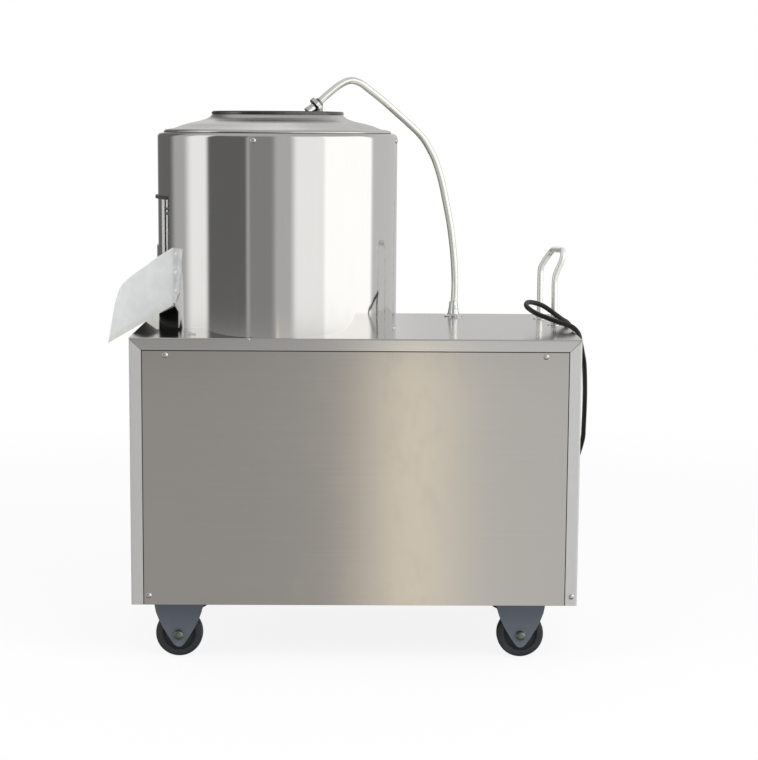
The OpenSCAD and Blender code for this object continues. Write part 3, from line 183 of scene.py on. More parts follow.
def flatten(obj, angle=35):
    """Smooths the bends of a sheet or block and keeps its flat sides flat."""
    return modify(soften(obj, angle), "WEIGHTED_NORMAL", weight=100, keep_sharp=True)


def settle(obj, place=(0, 0, 0), direction=(0, 0, 1), turn=0):
    """Stands a piece's Z axis along a direction at a place, and puts that into its mesh."""
    only(obj)
    lean = Vector((0, 0, 1)).rotation_difference(Vector(direction)).to_matrix().to_4x4()
    obj.matrix_world = (
        Matrix.Translation(place) @ lean @ Matrix.Rotation(math.radians(turn), 4, "Z")
    )
    bpy.ops.object.transform_apply(location=True, rotation=True, scale=True)
    return obj


def modify(obj, kind, **settings):
    only(obj)
    modifier = obj.modifiers.new(kind.lower(), kind)
    for key, value in settings.items():
        setattr(modifier, key, value)
    bpy.ops.object.modifier_apply(modifier=modifier.name)
    return obj


def cut(obj, *cutters):
    for cutter in cutters:
        modify(obj, "BOOLEAN", operation="DIFFERENCE", solver="EXACT", object=cutter)
        bpy.data.objects.remove(cutter)
    return obj


def join(name, *objs):
    only(objs[0])
    for obj in objs:
        obj.select_set(True)
    bpy.ops.object.join()
    return named(name)


def copy_of(obj, name):
    twin = obj.copy()
    twin.data = obj.data.copy()
    twin.name = twin.data.name = name
    bpy.context.scene.collection.objects.link(twin)
    return twin


def turned(name, outline, sides=64, closed=False, angle=35):
    """A round piece about Z: a circle that is extruded and resized along its outline in millimetres."""
    deselect()
    radius, height = outline[0]
    bpy.ops.mesh.primitive_circle_add(vertices=sides, radius=radius*MM)
    obj = named(name)
    edit(obj)
    bpy.ops.transform.translate(value=(0, 0, height*MM))
    for r, z in outline[1:]:
        bpy.ops.mesh.extrude_region()
        bpy.ops.transform.translate(value=(0, 0, (z - height)*MM))
        bpy.ops.transform.resize(value=(r/radius, r/radius, 1), center_override=(0, 0, 0))
        radius, height = r, z
    bpy.ops.mesh.select_all(action="DESELECT")
    bpy.ops.mesh.select_non_manifold()
    if closed:
        bpy.ops.mesh.bridge_edge_loops()
    else:
        bpy.ops.mesh.fill_holes(sides=0)
    outward()
    return soften(obj, angle)


def block(name, low, high, radius=0.5, steps=2, test=None):
    """A block between two corners in millimetres, its edges rounded, or only those that pass a test."""
    deselect()
    a, b = at(*low), at(*high)
    bpy.ops.mesh.primitive_cube_add(size=1, location=(a + b)/2)
    obj = named(name)
    obj.scale = b - a
    bpy.ops.object.transform_apply(location=True, rotation=True, scale=True)
    edit(obj, test=test)
    bpy.ops.mesh.bevel(offset=radius*MM, segments=steps, affect="EDGES")
    outward()
    return flatten(obj)


def cut_sheet(name, corners, way, radius=0.4):
    """A flat sheet: a filled circle whose corners are moved to the outline, pulled out by way."""
    deselect()
    bpy.ops.mesh.primitive_circle_add(vertices=len(corners), radius=0.1, fill_type="NGON")
    obj = named(name)
    for vertex, corner in zip(obj.data.vertices, corners):
        vertex.co = at(*corner)
    edit(obj, "FACE")
    bpy.ops.mesh.extrude_region()
    bpy.ops.transform.translate(value=Vector(way)*MM)
    outward()
    if radius:
        modify(obj, "BEVEL", width=radius*MM, segments=2, limit_method="ANGLE")
    return flatten(obj)


def smooth_line(points, steps):
    """Points on the smooth curve through the given ones, with steps spans between two of them."""
    p = [Vector(q) for q in points]
    line = []
    for i in range(len(p) - 1):
        a, b, c, d = p[max(i - 1, 0)], p[i], p[i + 1], p[min(i + 2, len(p) - 1)]
        for k in range(steps):
            u = k/steps
            line.append(
                0.5*(2*b + (c - a)*u + (2*a - 5*b + 4*c - d)*u*u + (3*b - a - 3*c + d)*u*u*u)
            )
    return line + [p[-1]]


def drawn_line(name, points, thickness, sides=4):
    """A round line through points in millimetres, as one open curve."""
    curve = bpy.data.curves.new(name, "CURVE")
    curve.dimensions = "3D"
    curve.bevel_depth = thickness*MM/2
    curve.bevel_resolution = sides
    curve.use_fill_caps = True
    curve.twist_mode = "MINIMUM"
    spline = curve.splines.new("POLY")
    spline.points.add(len(points) - 1)
    for target, p in zip(spline.points, points):
        target.co = (*at(*p), 1)
    spline.use_smooth = True
    obj = bpy.data.objects.new(name, curve)
    bpy.context.scene.collection.objects.link(obj)
    return obj


def rod(name, points, thickness, sides=6):
    obj = drawn_line(name, points, thickness, sides)
    only(obj)
    bpy.ops.object.convert(target="MESH")
    return soften(bpy.context.object, 50)


def dress(obj, finish, body="cabinet", replaces=()):
    """Gives a finished piece its material and its body, and hides the solids that it stands for."""
    obj.data.materials.clear()
    obj.data.materials.append(material(finish))
    for face in getattr(obj.data, "polygons", ()):
        face.material_index = 0
    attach(obj, body)
    if replaces:
        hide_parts(*replaces)
    return obj


def paint_nodes(finish, *nodes):
    """Gives solids that keep their own shape a better material."""
    for name in nodes:
        obj = frame["nodes"][name]
        for place in obj.material_slots:
            place.material = material(finish)


# ---- Shader sums ----


class Value:
    """A socket that takes part in sums: each sum adds its Math node."""

    def __init__(self, shader, socket):
        self.shader, self.socket = shader, socket

    def math(self, operation, *others):
        inputs = dict(enumerate((self, *others)))
        return self.shader.node("ShaderNodeMath", {"operation": operation}, inputs)

    def __add__(self, other):
        return self.math("ADD", other)

    __radd__ = __add__

    def __mul__(self, other):
        return self.math("MULTIPLY", other)

    __rmul__ = __mul__

    def __sub__(self, other):
        return self.math("SUBTRACT", other)

    def __rsub__(self, other):
        return self.math("MULTIPLY_ADD", -1.0, other)

    def above(self, low, high):
        """0 below low and 1 above high, smooth between them."""
        return self.shader.node(
            "ShaderNodeMapRange",
            {"interpolation_type": "SMOOTHSTEP"},
            {"Value": self, "From Min": low, "From Max": high},
        )


class Shader:
    """The nodes of a material or a world."""

    def __init__(self, owner):
        owner.use_nodes = True
        self.owner = owner
        self.tree = owner.node_tree
        self.surface = self.tree.nodes.get("Principled BSDF")

    def node(self, kind, settings=None, inputs=None, output=0):
        node = self.tree.nodes.new(kind)
        for key, value in (settings or {}).items():
            setattr(node, key, value)
        for key, value in (inputs or {}).items():
            self.put(node.inputs[key], value)
        return Value(self, node.outputs[output])

    def axes(self):
        """The three Object coordinates as numbers."""
        split = self.tree.nodes.new("ShaderNodeSeparateXYZ")
        self.put(split.inputs[0], self.node("ShaderNodeTexCoord", output="Object"))
        return [Value(self, split.outputs[i]) for i in range(3)]

    def put(self, socket, value):
        if isinstance(value, Value):
            self.tree.links.new(value.socket, socket)
        else:
            socket.default_value = value

    def set(self, **values):
        for key, value in values.items():
            self.put(self.surface.inputs[key.replace("_", " ")], value)

    def place(self, scale=(1, 1, 1)):
        """The Object coordinates, stretched."""
        where = self.node("ShaderNodeTexCoord", output="Object")
        return self.node("ShaderNodeMapping", inputs={"Vector": where, "Scale": scale})

    def noise(self, scale, spread=(1, 1, 1), detail=3.0, roughness=0.5):
        return self.node(
            "ShaderNodeTexNoise",
            inputs={
                "Vector": self.place(spread),
                "Scale": scale,
                "Detail": detail,
                "Roughness": roughness,
            },
        )

    def mix(self, share, a, b):
        return self.node("ShaderNodeMix", {"data_type": "RGBA"}, {0: share, 6: a, 7: b}, output=2)

    def bump(self, height, distance, strength=1.0, normal=None):
        inputs = {"Height": height, "Distance": distance, "Strength": strength}
        if normal is not None:
            inputs["Normal"] = normal
        return self.node("ShaderNodeBump", inputs=inputs)


def rgba(tone, share=1.0):
    return (*[min(1.0, c*share) for c in tone[:3]], 1.0)


def tinted(tone, *shares):
    """A tone with its red, green and blue each scaled by a share."""
    return (*[c*share for c, share in zip(tone, shares)], 1)


# ---- Finishes ----

made_materials = {}


def steel(
    name, tone, roughness, grain=(1, 1, 1), grain_depth=0.04, wave=0.0003, spots=0.03, metallic=1.0
):
    """A bare metal sheet: fine lines along its grain, soft waves, and a little wear in its gloss."""
    shader = Shader(bpy.data.materials.new(name))
    lines = shader.noise(260.0, grain, 4.0, 0.65)
    cloud = shader.noise(5.0, (1, 1, 1), 3.0)
    smear = shader.noise(34.0, (1, 1, 0.6), 4.0, 0.6)
    waves = shader.bump(shader.noise(3.2, (1, 1, 1), 1.0), wave, 1.0)
    dark, light = rgba(tone, 1 - grain_depth), rgba(tone, 1 + grain_depth)
    shader.set(
        Base_Color=shader.mix(lines*0.6 + cloud*0.4, dark, light),
        Roughness=(roughness - spots) + lines*spots + smear.above(0.45, 0.75)*spots + cloud*spots,
        Metallic=metallic,
        Normal=shader.bump(lines, 0.00002, 0.5, waves),
    )
    return shader


def cover_sheet(name, tone, top, front):
    """The top cover's sheet: polished, smoother on its folded edge than on top, and with painted light
    making the folded edge lighter and bluer.
    """
    shader = steel(name, tone, top, (0.03, 1, 1), 0.03, 0.0002)
    scuff = shader.noise(34.0, (1, 1, 0.6), 4.0, 0.6)
    cloud = shader.noise(5.0, (1, 1, 1), 3.0)
    upper = shader.axes()[2].above(TOP*MM - 0.003, TOP*MM - 0.001)
    # Painted light: the folded edge of the same sheet is painted lighter and bluer than its flat top.
    edge = shader.mix(cloud, tinted(tone, 1.15, 1.18, 1.22), tinted(tone, 1.2, 1.23, 1.27))
    flat = shader.mix(cloud, rgba(tone, 0.97), rgba(tone, 1.03))
    shader.set(
        Base_Color=shader.mix(upper, edge, flat),
        Roughness=upper*(top - front) + scuff*0.03 + (front - 0.015),
    )
    return shader


def bright_plate(name, tone, metallic, roughness=0.07):
    """Bright plating, clean and even, with fingerprints that dull it here and there."""
    shader = Shader(bpy.data.materials.new(name))
    print_marks = shader.noise(60.0, (1, 1, 0.5), 4.0, 0.6).above(0.5, 0.8)
    shader.set(
        Base_Color=shader.mix(print_marks, rgba(tone), rgba(tone, 0.95)),
        Roughness=print_marks*0.05 + roughness,
        Metallic=metallic,
    )
    return shader


def chute_sheet(name, tone):
    """Satin sheet of the chute: even and pale, darker on the riveted strip and along the wet lower edge,
    with painted shade making its underside near-black.
    """
    shader = Shader(bpy.data.materials.new(name))
    x, y, z = shader.axes()
    centre = at(DRUM_X, DRUM_Y, TOP)
    aside = (y - centre.y).math("ABSOLUTE")
    strip = aside.above(CHUTE_HALF*MM + 0.0012, CHUTE_HALF*MM + 0.0020)
    slope = (CHUTE_ROOT_Z - CHUTE_TIP_Z)/(CHUTE_ROOT - CHUTE_TIP)
    over = z - (x*slope + (CHUTE_ROOT_Z*MM - slope*(centre.x + CHUTE_ROOT*MM)))
    wet = 1 - over.above(0.001, 0.012)
    blotch = shader.noise(55.0, (1, 1, 0.7), 5.0, 0.65)
    cloud = shader.noise(7.0, (1, 1, 1), 3.0)
    plain = shader.mix(cloud, rgba(tone, 0.97), rgba(tone, 1.03))
    worn = shader.mix(blotch.above(0.35, 0.7), rgba(tone, 0.62), rgba(tone, 0.86))
    stained = shader.mix(wet*0.5, plain, tinted(tone, 0.86, 0.82, 0.66))
    # Painted shade: inside the chute's width and below its floor, the sheet is painted near-black.
    inside = 1 - aside.above(CHUTE_HALF*MM - 0.0006, CHUTE_HALF*MM - 0.0002)
    painted_underside_shade = inside*(1 - over.above(-0.0010, -0.0005))
    shader.set(
        Base_Color=shader.mix(painted_underside_shade, shader.mix(strip, stained, worn), (0.03, 0.03, 0.03, 1)),
        Roughness=0.42 + cloud*0.08 + strip*0.1,
        Metallic=0.3,
        Normal=shader.bump(blotch*strip + cloud*0.3, 0.0004, 0.6),
    )
    return shader


def guide_sheet(name, tone):
    """Satin strip of the gate's guides, scraped by the gate, with painted shade along its folded top."""
    shader = Shader(bpy.data.materials.new(name))
    _, _, z = shader.axes()
    scrape = shader.noise(80.0, (1, 1, 0.06), 4.0, 0.6)
    scraped = shader.mix(scrape, rgba(tone, 0.9), rgba(tone, 1.08))
    # Painted shade: the folded top is painted near-black.
    top = z.above(GUIDE_HIGH*MM - 0.0006, GUIDE_HIGH*MM + 0.0002)
    shader.set(
        Base_Color=shader.mix(top, scraped, rgba(tone, 0.08)),
        Roughness=scrape*0.12 + 0.3,
        Metallic=0.35,
    )
    return shader


def metal_part(name, tone, roughness, scale=90.0, depth=0.0002, metallic=1.0, dirt=(0.1, 0.1, 0.1)):
    """Cast, rolled or plated metal, with a fine uneven skin and darker patches."""
    shader = Shader(bpy.data.materials.new(name))
    skin = shader.noise(scale*6, (1, 1, 1), 4.0, 0.6)
    patch = shader.noise(scale*0.25, (1, 1, 1), 4.0, 0.6).above(0.45, 0.8)
    shader.set(
        Base_Color=shader.mix(patch*0.35, rgba(tone), rgba(dirt)),
        Roughness=roughness + skin*0.12 + patch*0.15 - 0.06,
        Metallic=metallic,
        Normal=shader.bump(skin, depth, 0.7),
    )
    return shader


def plastic(name, tone, roughness, scale=600.0, depth=0.00005, dust=0.08):
    """Moulded plastic or rubber: a fine matt skin, with light dust in its hollows."""
    shader = Shader(bpy.data.materials.new(name))
    skin = shader.noise(scale, (1, 1, 1), 3.0)
    wear = shader.noise(22.0, (1, 1, 1), 5.0, 0.65).above(0.5, 0.85)
    shader.set(
        Base_Color=shader.mix(wear*dust*4, rgba(tone), rgba([c*0.7 + 0.06 for c in tone[:3]])),
        Roughness=roughness + skin*0.1 + wear*0.12 - 0.05,
        Normal=shader.bump(skin, depth, 0.6),
    )
    return shader


def abrasive_grit(name, tone):
    """Coarse grit set in resin: sharp grains of several sizes, the proud ones worn lighter."""
    shader = Shader(bpy.data.materials.new(name))
    grains = shader.node(
        "ShaderNodeTexVoronoi",
        {"feature": "F1"},
        {"Vector": shader.place(), "Scale": 420.0, "Randomness": 1.0},
    )
    fine = shader.noise(1400.0, (1, 1, 1), 3.0, 0.7)
    height = (1 - grains) + fine*0.4
    shader.set(
        Base_Color=shader.mix(height.above(0.6, 1.25), rgba(tone, 0.55), rgba(tone, 1.9)),
        Roughness=0.85 - grains*0.25,
        Normal=shader.bump(height, 0.0014, 1.0),
    )
    return shader


def glossy_hose(name, tone):
    """Pale glossy plastic with a faint haze that varies along it."""
    shader = Shader(bpy.data.materials.new(name))
    haze = shader.noise(30.0, (1, 1, 1), 3.0)
    shader.set(
        Base_Color=shader.mix(haze, rgba(tone), rgba(tone, 0.95)),
        Roughness=haze*0.06 + 0.10,
        Metallic=0.85,
    )
    return shader


def painted(name, tone, roughness):
    """Sprayed paint over pressed steel, with an orange-peel skin and scuffed high spots."""
    shader = Shader(bpy.data.materials.new(name))
    peel = shader.noise(420.0, (1, 1, 1), 2.0)
    scuff = shader.noise(45.0, (1, 1, 0.4), 6.0, 0.7).above(0.58, 0.8)
    shader.set(
        Base_Color=shader.mix(scuff*0.5, rgba(tone), rgba([c*1.3 + 0.03 for c in tone[:3]])),
        Roughness=roughness + scuff*0.2,
        Metallic=0.35,
        Coat_Weight=0.25,
        Normal=shader.bump(peel, 0.00012, 0.5),
    )
    return shader


def material(finish):
    """The finish of that name, made once from the colours in the scene's settings."""
    if finish in made_materials:
        return made_materials[finish]
    tones = bpy.context.scene.peeler_colours
    gloss = bpy.context.scene.peeler_gloss
    sheet, bright = tones.sheet, tones.polished
    recipes = {
        "brushed_sheet": (steel, sheet, gloss.brushed, (0.02, 1, 1), 0.04, 0.0001, 0.02),
        "satin_sheet": (steel, tones.satin, gloss.satin, (1, 1, 0.05), 0.03, 0.0002, 0.03, 0.75),
        "polished_sheet": (cover_sheet, sheet, gloss.top, gloss.brushed),
        "polished_steel": (steel, bright, gloss.polished, (1, 1, 0.02), 0.03, 0.0003, 0.02),
        "guide_steel": (guide_sheet, tones.satin),
        "lid_steel": (steel, bright, gloss.lid, (1, 1, 1), 0.03, 0.0002, 0.03),
        "rim_steel": (steel, tones.rim, 0.2, (1, 1, 1), 0.05, 0.0002),
        "chute_steel": (chute_sheet, tones.chute),
        "chrome": (bright_plate, tones.chrome, 1.0),
        "rod_chrome": (bright_plate, tones.rod, 0.6, 0.09),
        "frame_steel": (metal_part, tones.frame, 0.42),
        "caster_steel": (painted, tones.caster, 0.38),
        "bolt_steel": (metal_part, tones.bolt, 0.34, 140.0, 0.0001),
        "bearing_steel": (metal_part, (0.55, 0.55, 0.54), 0.22, 60.0, 0.00004),
        "cast_iron": (metal_part, (0.10, 0.105, 0.11), 0.6, 60.0, 0.0006, 0.7),
        "motor_paint": (painted, tones.motor, 0.45),
        "motor_cast": (painted, tones.motor, 0.6),
        "aluminium": (metal_part, (0.7, 0.7, 0.7), 0.35, 80.0, 0.0001),
        "abrasive": (abrasive_grit, tones.abrasive),
        "black_rubber": (plastic, (0.018, 0.018, 0.019), 0.55, 500.0, 0.00008),
        "tyre_rubber": (plastic, tones.tyre, 0.48, 350.0, 0.0001, 0.14),
        "cord_rubber": (plastic, tones.cord, 0.34, 700.0, 0.00003, 0.04),
        "black_plastic": (plastic, (0.02, 0.02, 0.021), 0.4),
        "grey_plastic": (plastic, (0.28, 0.29, 0.30), 0.45),
        "hub_plastic": (plastic, (0.014, 0.017, 0.022), 0.5),
        "hose_plastic": (glossy_hose, tones.hose),
        "brass": (metal_part, (0.72, 0.50, 0.20), 0.28, 90.0, 0.0001, 1.0, (0.3, 0.2, 0.1)),
        "green_plastic": (plastic, (0.02, 0.28, 0.06), 0.3),
        "red_plastic": (plastic, (0.55, 0.02, 0.015), 0.3),
    }
    make, *settings = recipes[finish]
    made_materials[finish] = make(finish, *settings).owner
    return made_materials[finish]


# ---- Settings ----


def tone_setting(name, description, default):
    return bpy.props.FloatVectorProperty(
        name=name, description=description, default=default, size=3, min=0, max=1, subtype="COLOR"
    )


def length_setting(name, description, default):
    return bpy.props.FloatProperty(
        name=name, description=description, default=default, min=0.0001, unit="LENGTH", subtype="DISTANCE"
    )


def gloss_setting(name, description, default):
    return bpy.props.FloatProperty(
        name=name, description=description, default=default, min=0, max=1, subtype="FACTOR"
    )


class PeelerColours(bpy.types.PropertyGroup):
    sheet: tone_setting("Sheet", "Bare steel of the cabinet's sheets", (0.72, 0.70, 0.67))
    satin: tone_setting("Satin sheet", "Satin steel of the side walls", (0.76, 0.76, 0.75))
    polished: tone_setting("Polished steel", "Polished steel of the drum and lid", (0.78, 0.77, 0.75))
    chute: tone_setting("Chute", "Pale satin steel of the discharge chute", (0.80, 0.81, 0.81))
    # The rim's dark tone is painted shade: the rolled rim is steel, painted dark for the shade and dark
    # reflections on its curl.
    rim: tone_setting("Rim", "Dark steel of the mouth's rim", (0.15, 0.15, 0.145))
    chrome: tone_setting("Chrome", "Bright plating of the screws and fittings", (0.86, 0.86, 0.85))
    rod: tone_setting("Rod", "Bright plating of the push handle", (0.97, 0.97, 0.93))
    frame: tone_setting("Frame", "Mill finish of the tube frame", (0.45, 0.45, 0.44))
    caster: tone_setting("Caster paint", "Blue-grey paint of the forks", (0.13, 0.15, 0.185))
    bolt: tone_setting("Bolts", "Zinc plating of the bolts", (0.27, 0.29, 0.26))
    motor: tone_setting("Motor paint", "Paint of the motor", (0.09, 0.13, 0.17))
    abrasive: tone_setting("Abrasive", "Grit of the lining and the turntable", (0.10, 0.10, 0.105))
    tyre: tone_setting("Tyres", "Rubber of the tyres", (0.022, 0.024, 0.028))
    cord: tone_setting("Cord", "Jacket of the power cord", (0.008, 0.009, 0.010))
    hose: tone_setting("Hose", "Pale plastic of the spray hose", (0.97, 0.97, 0.90))


class PeelerGloss(bpy.types.PropertyGroup):
    brushed: gloss_setting("Brushed sheet", "Roughness of the brushed panels", 0.10)
    satin: gloss_setting("Satin sheet", "Roughness of the side walls", 0.36)
    lid: gloss_setting("Lid", "Roughness of the lid", 0.22)
    top: gloss_setting("Top cover", "Roughness of the top cover", 0.16)
    polished: gloss_setting("Polished steel", "Roughness of the drum", 0.07)


class PeelerSizes(bpy.types.PropertyGroup):
    cord: length_setting("Cord", "Thickness of the power cord", 0.008)
    hose: length_setting("Hose", "Outside thickness of the spray hose", 0.0117)
    hose_wall: length_setting("Hose wall", "Wall of the spray hose", 0.0018)
    rod: length_setting("Handle rod", "Thickness of the push handle's rod", 0.010)
    fold: length_setting("Fold", "Outside radius of the folded sheet edges", 0.0025)
    tie: length_setting("Cord tie", "Width of the tie on the coiled cord", 0.006)


class PeelerStage(bpy.types.PropertyGroup):
    floor: tone_setting("Floor", "Colour of the floor", (0.86, 0.86, 0.86))
    lamp: bpy.props.FloatProperty(
        name="Lamp", description="Power of the main lamp", default=90.0, min=0, unit="POWER"
    )
    fill: bpy.props.FloatProperty(
        name="Fill", description="Strength of the room's own light", default=0.62, min=0, subtype="FACTOR"
    )


# ---- Pieces ----


class PEELER_OT_stage(bpy.types.Operator):
    """Camera, floor, lamps and the pale room that the steel mirrors"""

    bl_idname = "peeler.stage"
    bl_label = "Stage"

    def execute(self, context):
        stage = context.scene.peeler_stage
        # Camera
        data = bpy.data.cameras.new("camera")
        data.lens = 88.19
        data.sensor_width = 36
        data.clip_end = 60
        camera = bpy.data.objects.new("camera", data)
        pitch, yaw, roll = 0.1340, 0.0167, 0.0073
        ahead = Vector((math.sin(yaw)*math.cos(pitch), math.cos(yaw)*math.cos(pitch), -math.sin(pitch)))
        side = Vector((math.cos(yaw), -math.sin(yaw), 0))
        up = side.cross(ahead)
        right = side*math.cos(roll) + up*math.sin(roll)
        above = up*math.cos(roll) - side*math.sin(roll)
        view = Matrix((right, above, -ahead)).transposed().to_4x4()
        view.translation = at(-11.83, -3056.5, 838.83)
        camera.matrix_world = view
        context.scene.collection.objects.link(camera)
        context.scene.camera = camera
        # Floor: white to the eye, with the object's shadow, and plain to everything else
        deselect()
        bpy.ops.mesh.primitive_plane_add(size=14, location=(0, 0, 0))
        floor = named("floor")
        shader = Shader(bpy.data.materials.new("floor"))
        tree = shader.tree
        cover = shader.noise(2.0, (1, 1, 1), 2.0)
        shader.set(
            Base_Color=shader.mix(cover, rgba(stage.floor), rgba(stage.floor, 0.985)),
            Roughness=0.9,
        )
        white = tree.nodes.new("ShaderNodeEmission")
        white.inputs["Strength"].default_value = 1.0
        x, y, _ = shader.axes()
        far = (x*x + y*y).above(0.9**2, 2.4**2)
        share = shader.node("ShaderNodeLightPath", output="Is Camera Ray")*(far*0.12 + 0.88)
        mixed = tree.nodes.new("ShaderNodeMixShader")
        tree.links.new(share.socket, mixed.inputs[0])
        tree.links.new(shader.surface.outputs[0], mixed.inputs[1])
        tree.links.new(white.outputs[0], mixed.inputs[2])
        tree.links.new(mixed.outputs[0], tree.nodes["Material Output"].inputs["Surface"])
        floor.data.materials.append(bpy.data.materials["floor"])
        floor.visible_glossy = False
        # Lamps: one broad soft box from the front right above, one weaker from the left
        for name, place, size, power in [
            ("soft_box", (1.9, -2.2, 2.6), 2.4, stage.lamp),
            ("side_box", (-2.4, -1.2, 1.8), 2.0, stage.lamp*0.35),
        ]:
            lamp = bpy.data.lights.new(name, "AREA")
            lamp.shape = "SQUARE"
            lamp.size = size
            lamp.energy = power
            obj = bpy.data.objects.new(name, lamp)
            obj.location = place
            obj.rotation_euler = (Vector((0, 0, 0.4)) - obj.location).to_track_quat("-Z", "Y").to_euler()
            obj.visible_camera = False
            obj.visible_glossy = False
            context.scene.collection.objects.link(obj)
        self.room(context, stage)
        context.scene.view_settings.view_transform = "Standard"
        return {"FINISHED"}

    def room(self, context, stage):
        """White to the eye, an even fill, and soft boxes and dark flags for the steel to mirror."""
        world = bpy.data.worlds.new("room")
        context.scene.world = world
        shader = Shader(world)
        tree = shader.tree
        way = shader.node("ShaderNodeTexCoord", output="Generated")
        split = tree.nodes.new("ShaderNodeSeparateXYZ")
        tree.links.new(way.socket, split.inputs[0])
        x, y, z = (Value(shader, split.outputs[i]) for i in range(3))
        turn = x.math("ARCTAN2", y*-1.0)*(180/math.pi)

        def stand(room, cards):
            """Stands soft-edged upright cards in a room: direction, half width, softness, tone."""
            for middle, half, soft, *tone in cards:
                away = (turn - middle).math("ABSOLUTE")
                share = 1 - away.above(half - soft, half + soft)
                room = shader.mix(share, room, (*(tone*3 if len(tone) == 1 else tone), 1))
            return room

        # Steel at eye height mirrors a white room with grey and black flags and one lamp box
        walls = stand((1, 1, 1, 1), [
            (-138, 32, 12, 0.14), (-105, 12, 7, 0.45), (-47, 21, 3, 0.13), (-12, 14, 3, 0.25),
            (8, 9, 4, 0.48), (75, 28, 2, 1.28), (142, 38, 3, 0.6),
        ])
        # Steel lower down mirrors a dark floor on the left, a grey one on the right, and a pale card
        ground = shader.mix(turn.above(2, 4), (0.36, 0.35, 0.34, 1), (0.58, 0.58, 0.57, 1))
        ground = stand(ground, [(2, 1.2, 1.1, 1.0, 0.9, 0.74), (-150, 40, 15, 0.1)])
        ceiling = (0.46, 0.46, 0.46, 1)
        upper = shader.mix(z.above(0.50, 0.75), walls, ceiling)
        lower = shader.mix((z*-1.0).above(0.108, 0.116), upper, ground)
        mirrored = shader.mix((z*-1.0).above(0.35, 0.75), lower, (0.14, 0.14, 0.14, 1))
        path = tree.nodes.new("ShaderNodeLightPath")
        camera_ray = Value(shader, path.outputs["Is Camera Ray"])
        clear_ray = Value(shader, path.outputs["Is Transmission Ray"])
        glossy_ray = Value(shader, path.outputs["Is Glossy Ray"])
        seen = camera_ray.math("MAXIMUM", clear_ray)
        even = (stage.fill, stage.fill, stage.fill*1.01, 1)
        tone = shader.mix(seen, shader.mix(glossy_ray, even, mirrored), (1, 1, 1, 1))
        background = tree.nodes["Background"]
        tree.links.new(tone.socket, background.inputs["Color"])
        background.inputs["Strength"].default_value = 1.0


class PEELER_OT_cord(bpy.types.Operator):
    """Power cord with its gland, tapered boot, tied coil and plug"""

    bl_idname = "peeler.cord"
    bl_label = "Power cord"

    def execute(self, context):
        sizes = context.scene.peeler_sizes
        thick = sizes.cord/MM
        cx, cy = COIL_CENTRE
        wound = []
        for turn, (radius, height) in enumerate([(50, 4.3), (42, 4.3), (46, 11)]):
            # The last turn climbs onto the others, and ends over an extra quarter
            for k in range(20 if turn == 2 else 16):
                a = math.radians(22.5*k)
                rise = min(1, k/4) if turn == 2 else 1
                wound.append((cx + radius*math.cos(a), cy + radius*math.sin(a), 4.3 + (height - 4.3)*rise))
        route = smooth_line(CORD_POINTS[:-1], 5)[:-1] + smooth_line(
            [CORD_POINTS[-2], *wound, *TAIL_POINTS], 3
        )
        cord = drawn_line("cord_jacket", route, thick, 5)
        plug = self.plug()
        tie = self.tie(sizes.tie/MM)
        boot = self.boot(thick)
        dress(cord, "cord_rubber", replaces=("power_cord", "cord_coil"))
        tuple(at(*CORD_POINTS[0]))
        paint_nodes("brass", "plug_pins")
        return {"FINISHED"}

    def plug(self):
        body = turned("plug_grip", [
            (4.2, 0), (5.4, 0.6), (5.6, 3), (5.0, 3.6), (5.9, 4.4), (6.1, 7), (5.4, 7.6), (6.5, 8.4),
            (6.8, 11), (6.0, 11.6), (7.2, 12.4), (7.6, 15), (6.8, 15.6), (8.0, 16.6), (8.8, 20),
            (9.6, 26), (10.4, 30), (11.6, 36), (11.6, 39),
        ], 40)
        settle(body, at(*PLUG_PLACE), (-1, 0, 0))
        x, y, z = PLUG_PLACE
        head = block("plug_head", (x - 50, y - 16, z - 12), (x - 38, y + 16, z + 12), 3.2, 4)
        plug = join("plug_shell", body, head)
        return dress(plug, "black_plastic", replaces=("plug_body",))

    def tie(self, width):
        cx, cy = COIL_CENTRE
        low, high = (cx + 36.6, cy - width/2, 0.2), (cx + 55.4, cy + width/2, 16.6)
        band = block("coil_tie", low, high, 3.4, 5, lambda p, d: abs(d.y) > 0.9)
        edit(band, "FACE", lambda p, n: abs(n.y) > 0.9)
        bpy.ops.mesh.delete(type="FACE")
        bpy.ops.object.mode_set(mode="OBJECT")
        modify(band, "SOLIDIFY", thickness=0.0009, offset=-1)
        return dress(soften(band), "black_plastic")

    def boot(self, thick):
        outline = []
        for k in range(6):
            s = 4.6*k
            r = 7.7 - 0.42*k
            outline += [(r, s), (r, s + 2.7), (r - 1.1, s + 3.1), (r - 1.1, s + 4.2)]
        outline += [(5.2, 27.6), (thick/2 + 0.5, 28)]
        boot = settle(turned("cord_boot", outline, 32), at(*GLAND), BOOT_DIR)
        x, y, z = GLAND
        cap = turned("gland_cap", [
            (4, -14), (9.6, -14), (9.6, -12.6), (7, -12.4), (7, 0), (9.9, 0), (11.9, 0.6),
            (12, 4.2), (11.2, 5), (8.6, 5), (8.4, 8), (7.8, 11), (7.9, 13), (6.6, 16), (4.6, 18), (2, 18.6),
        ], 40)
        settle(cap, at(350, y, z), (1, 0, 0))
        gland = join("gland_and_boot", cap, boot)
        return dress(gland, "black_rubber", replaces=("cable_gland",))


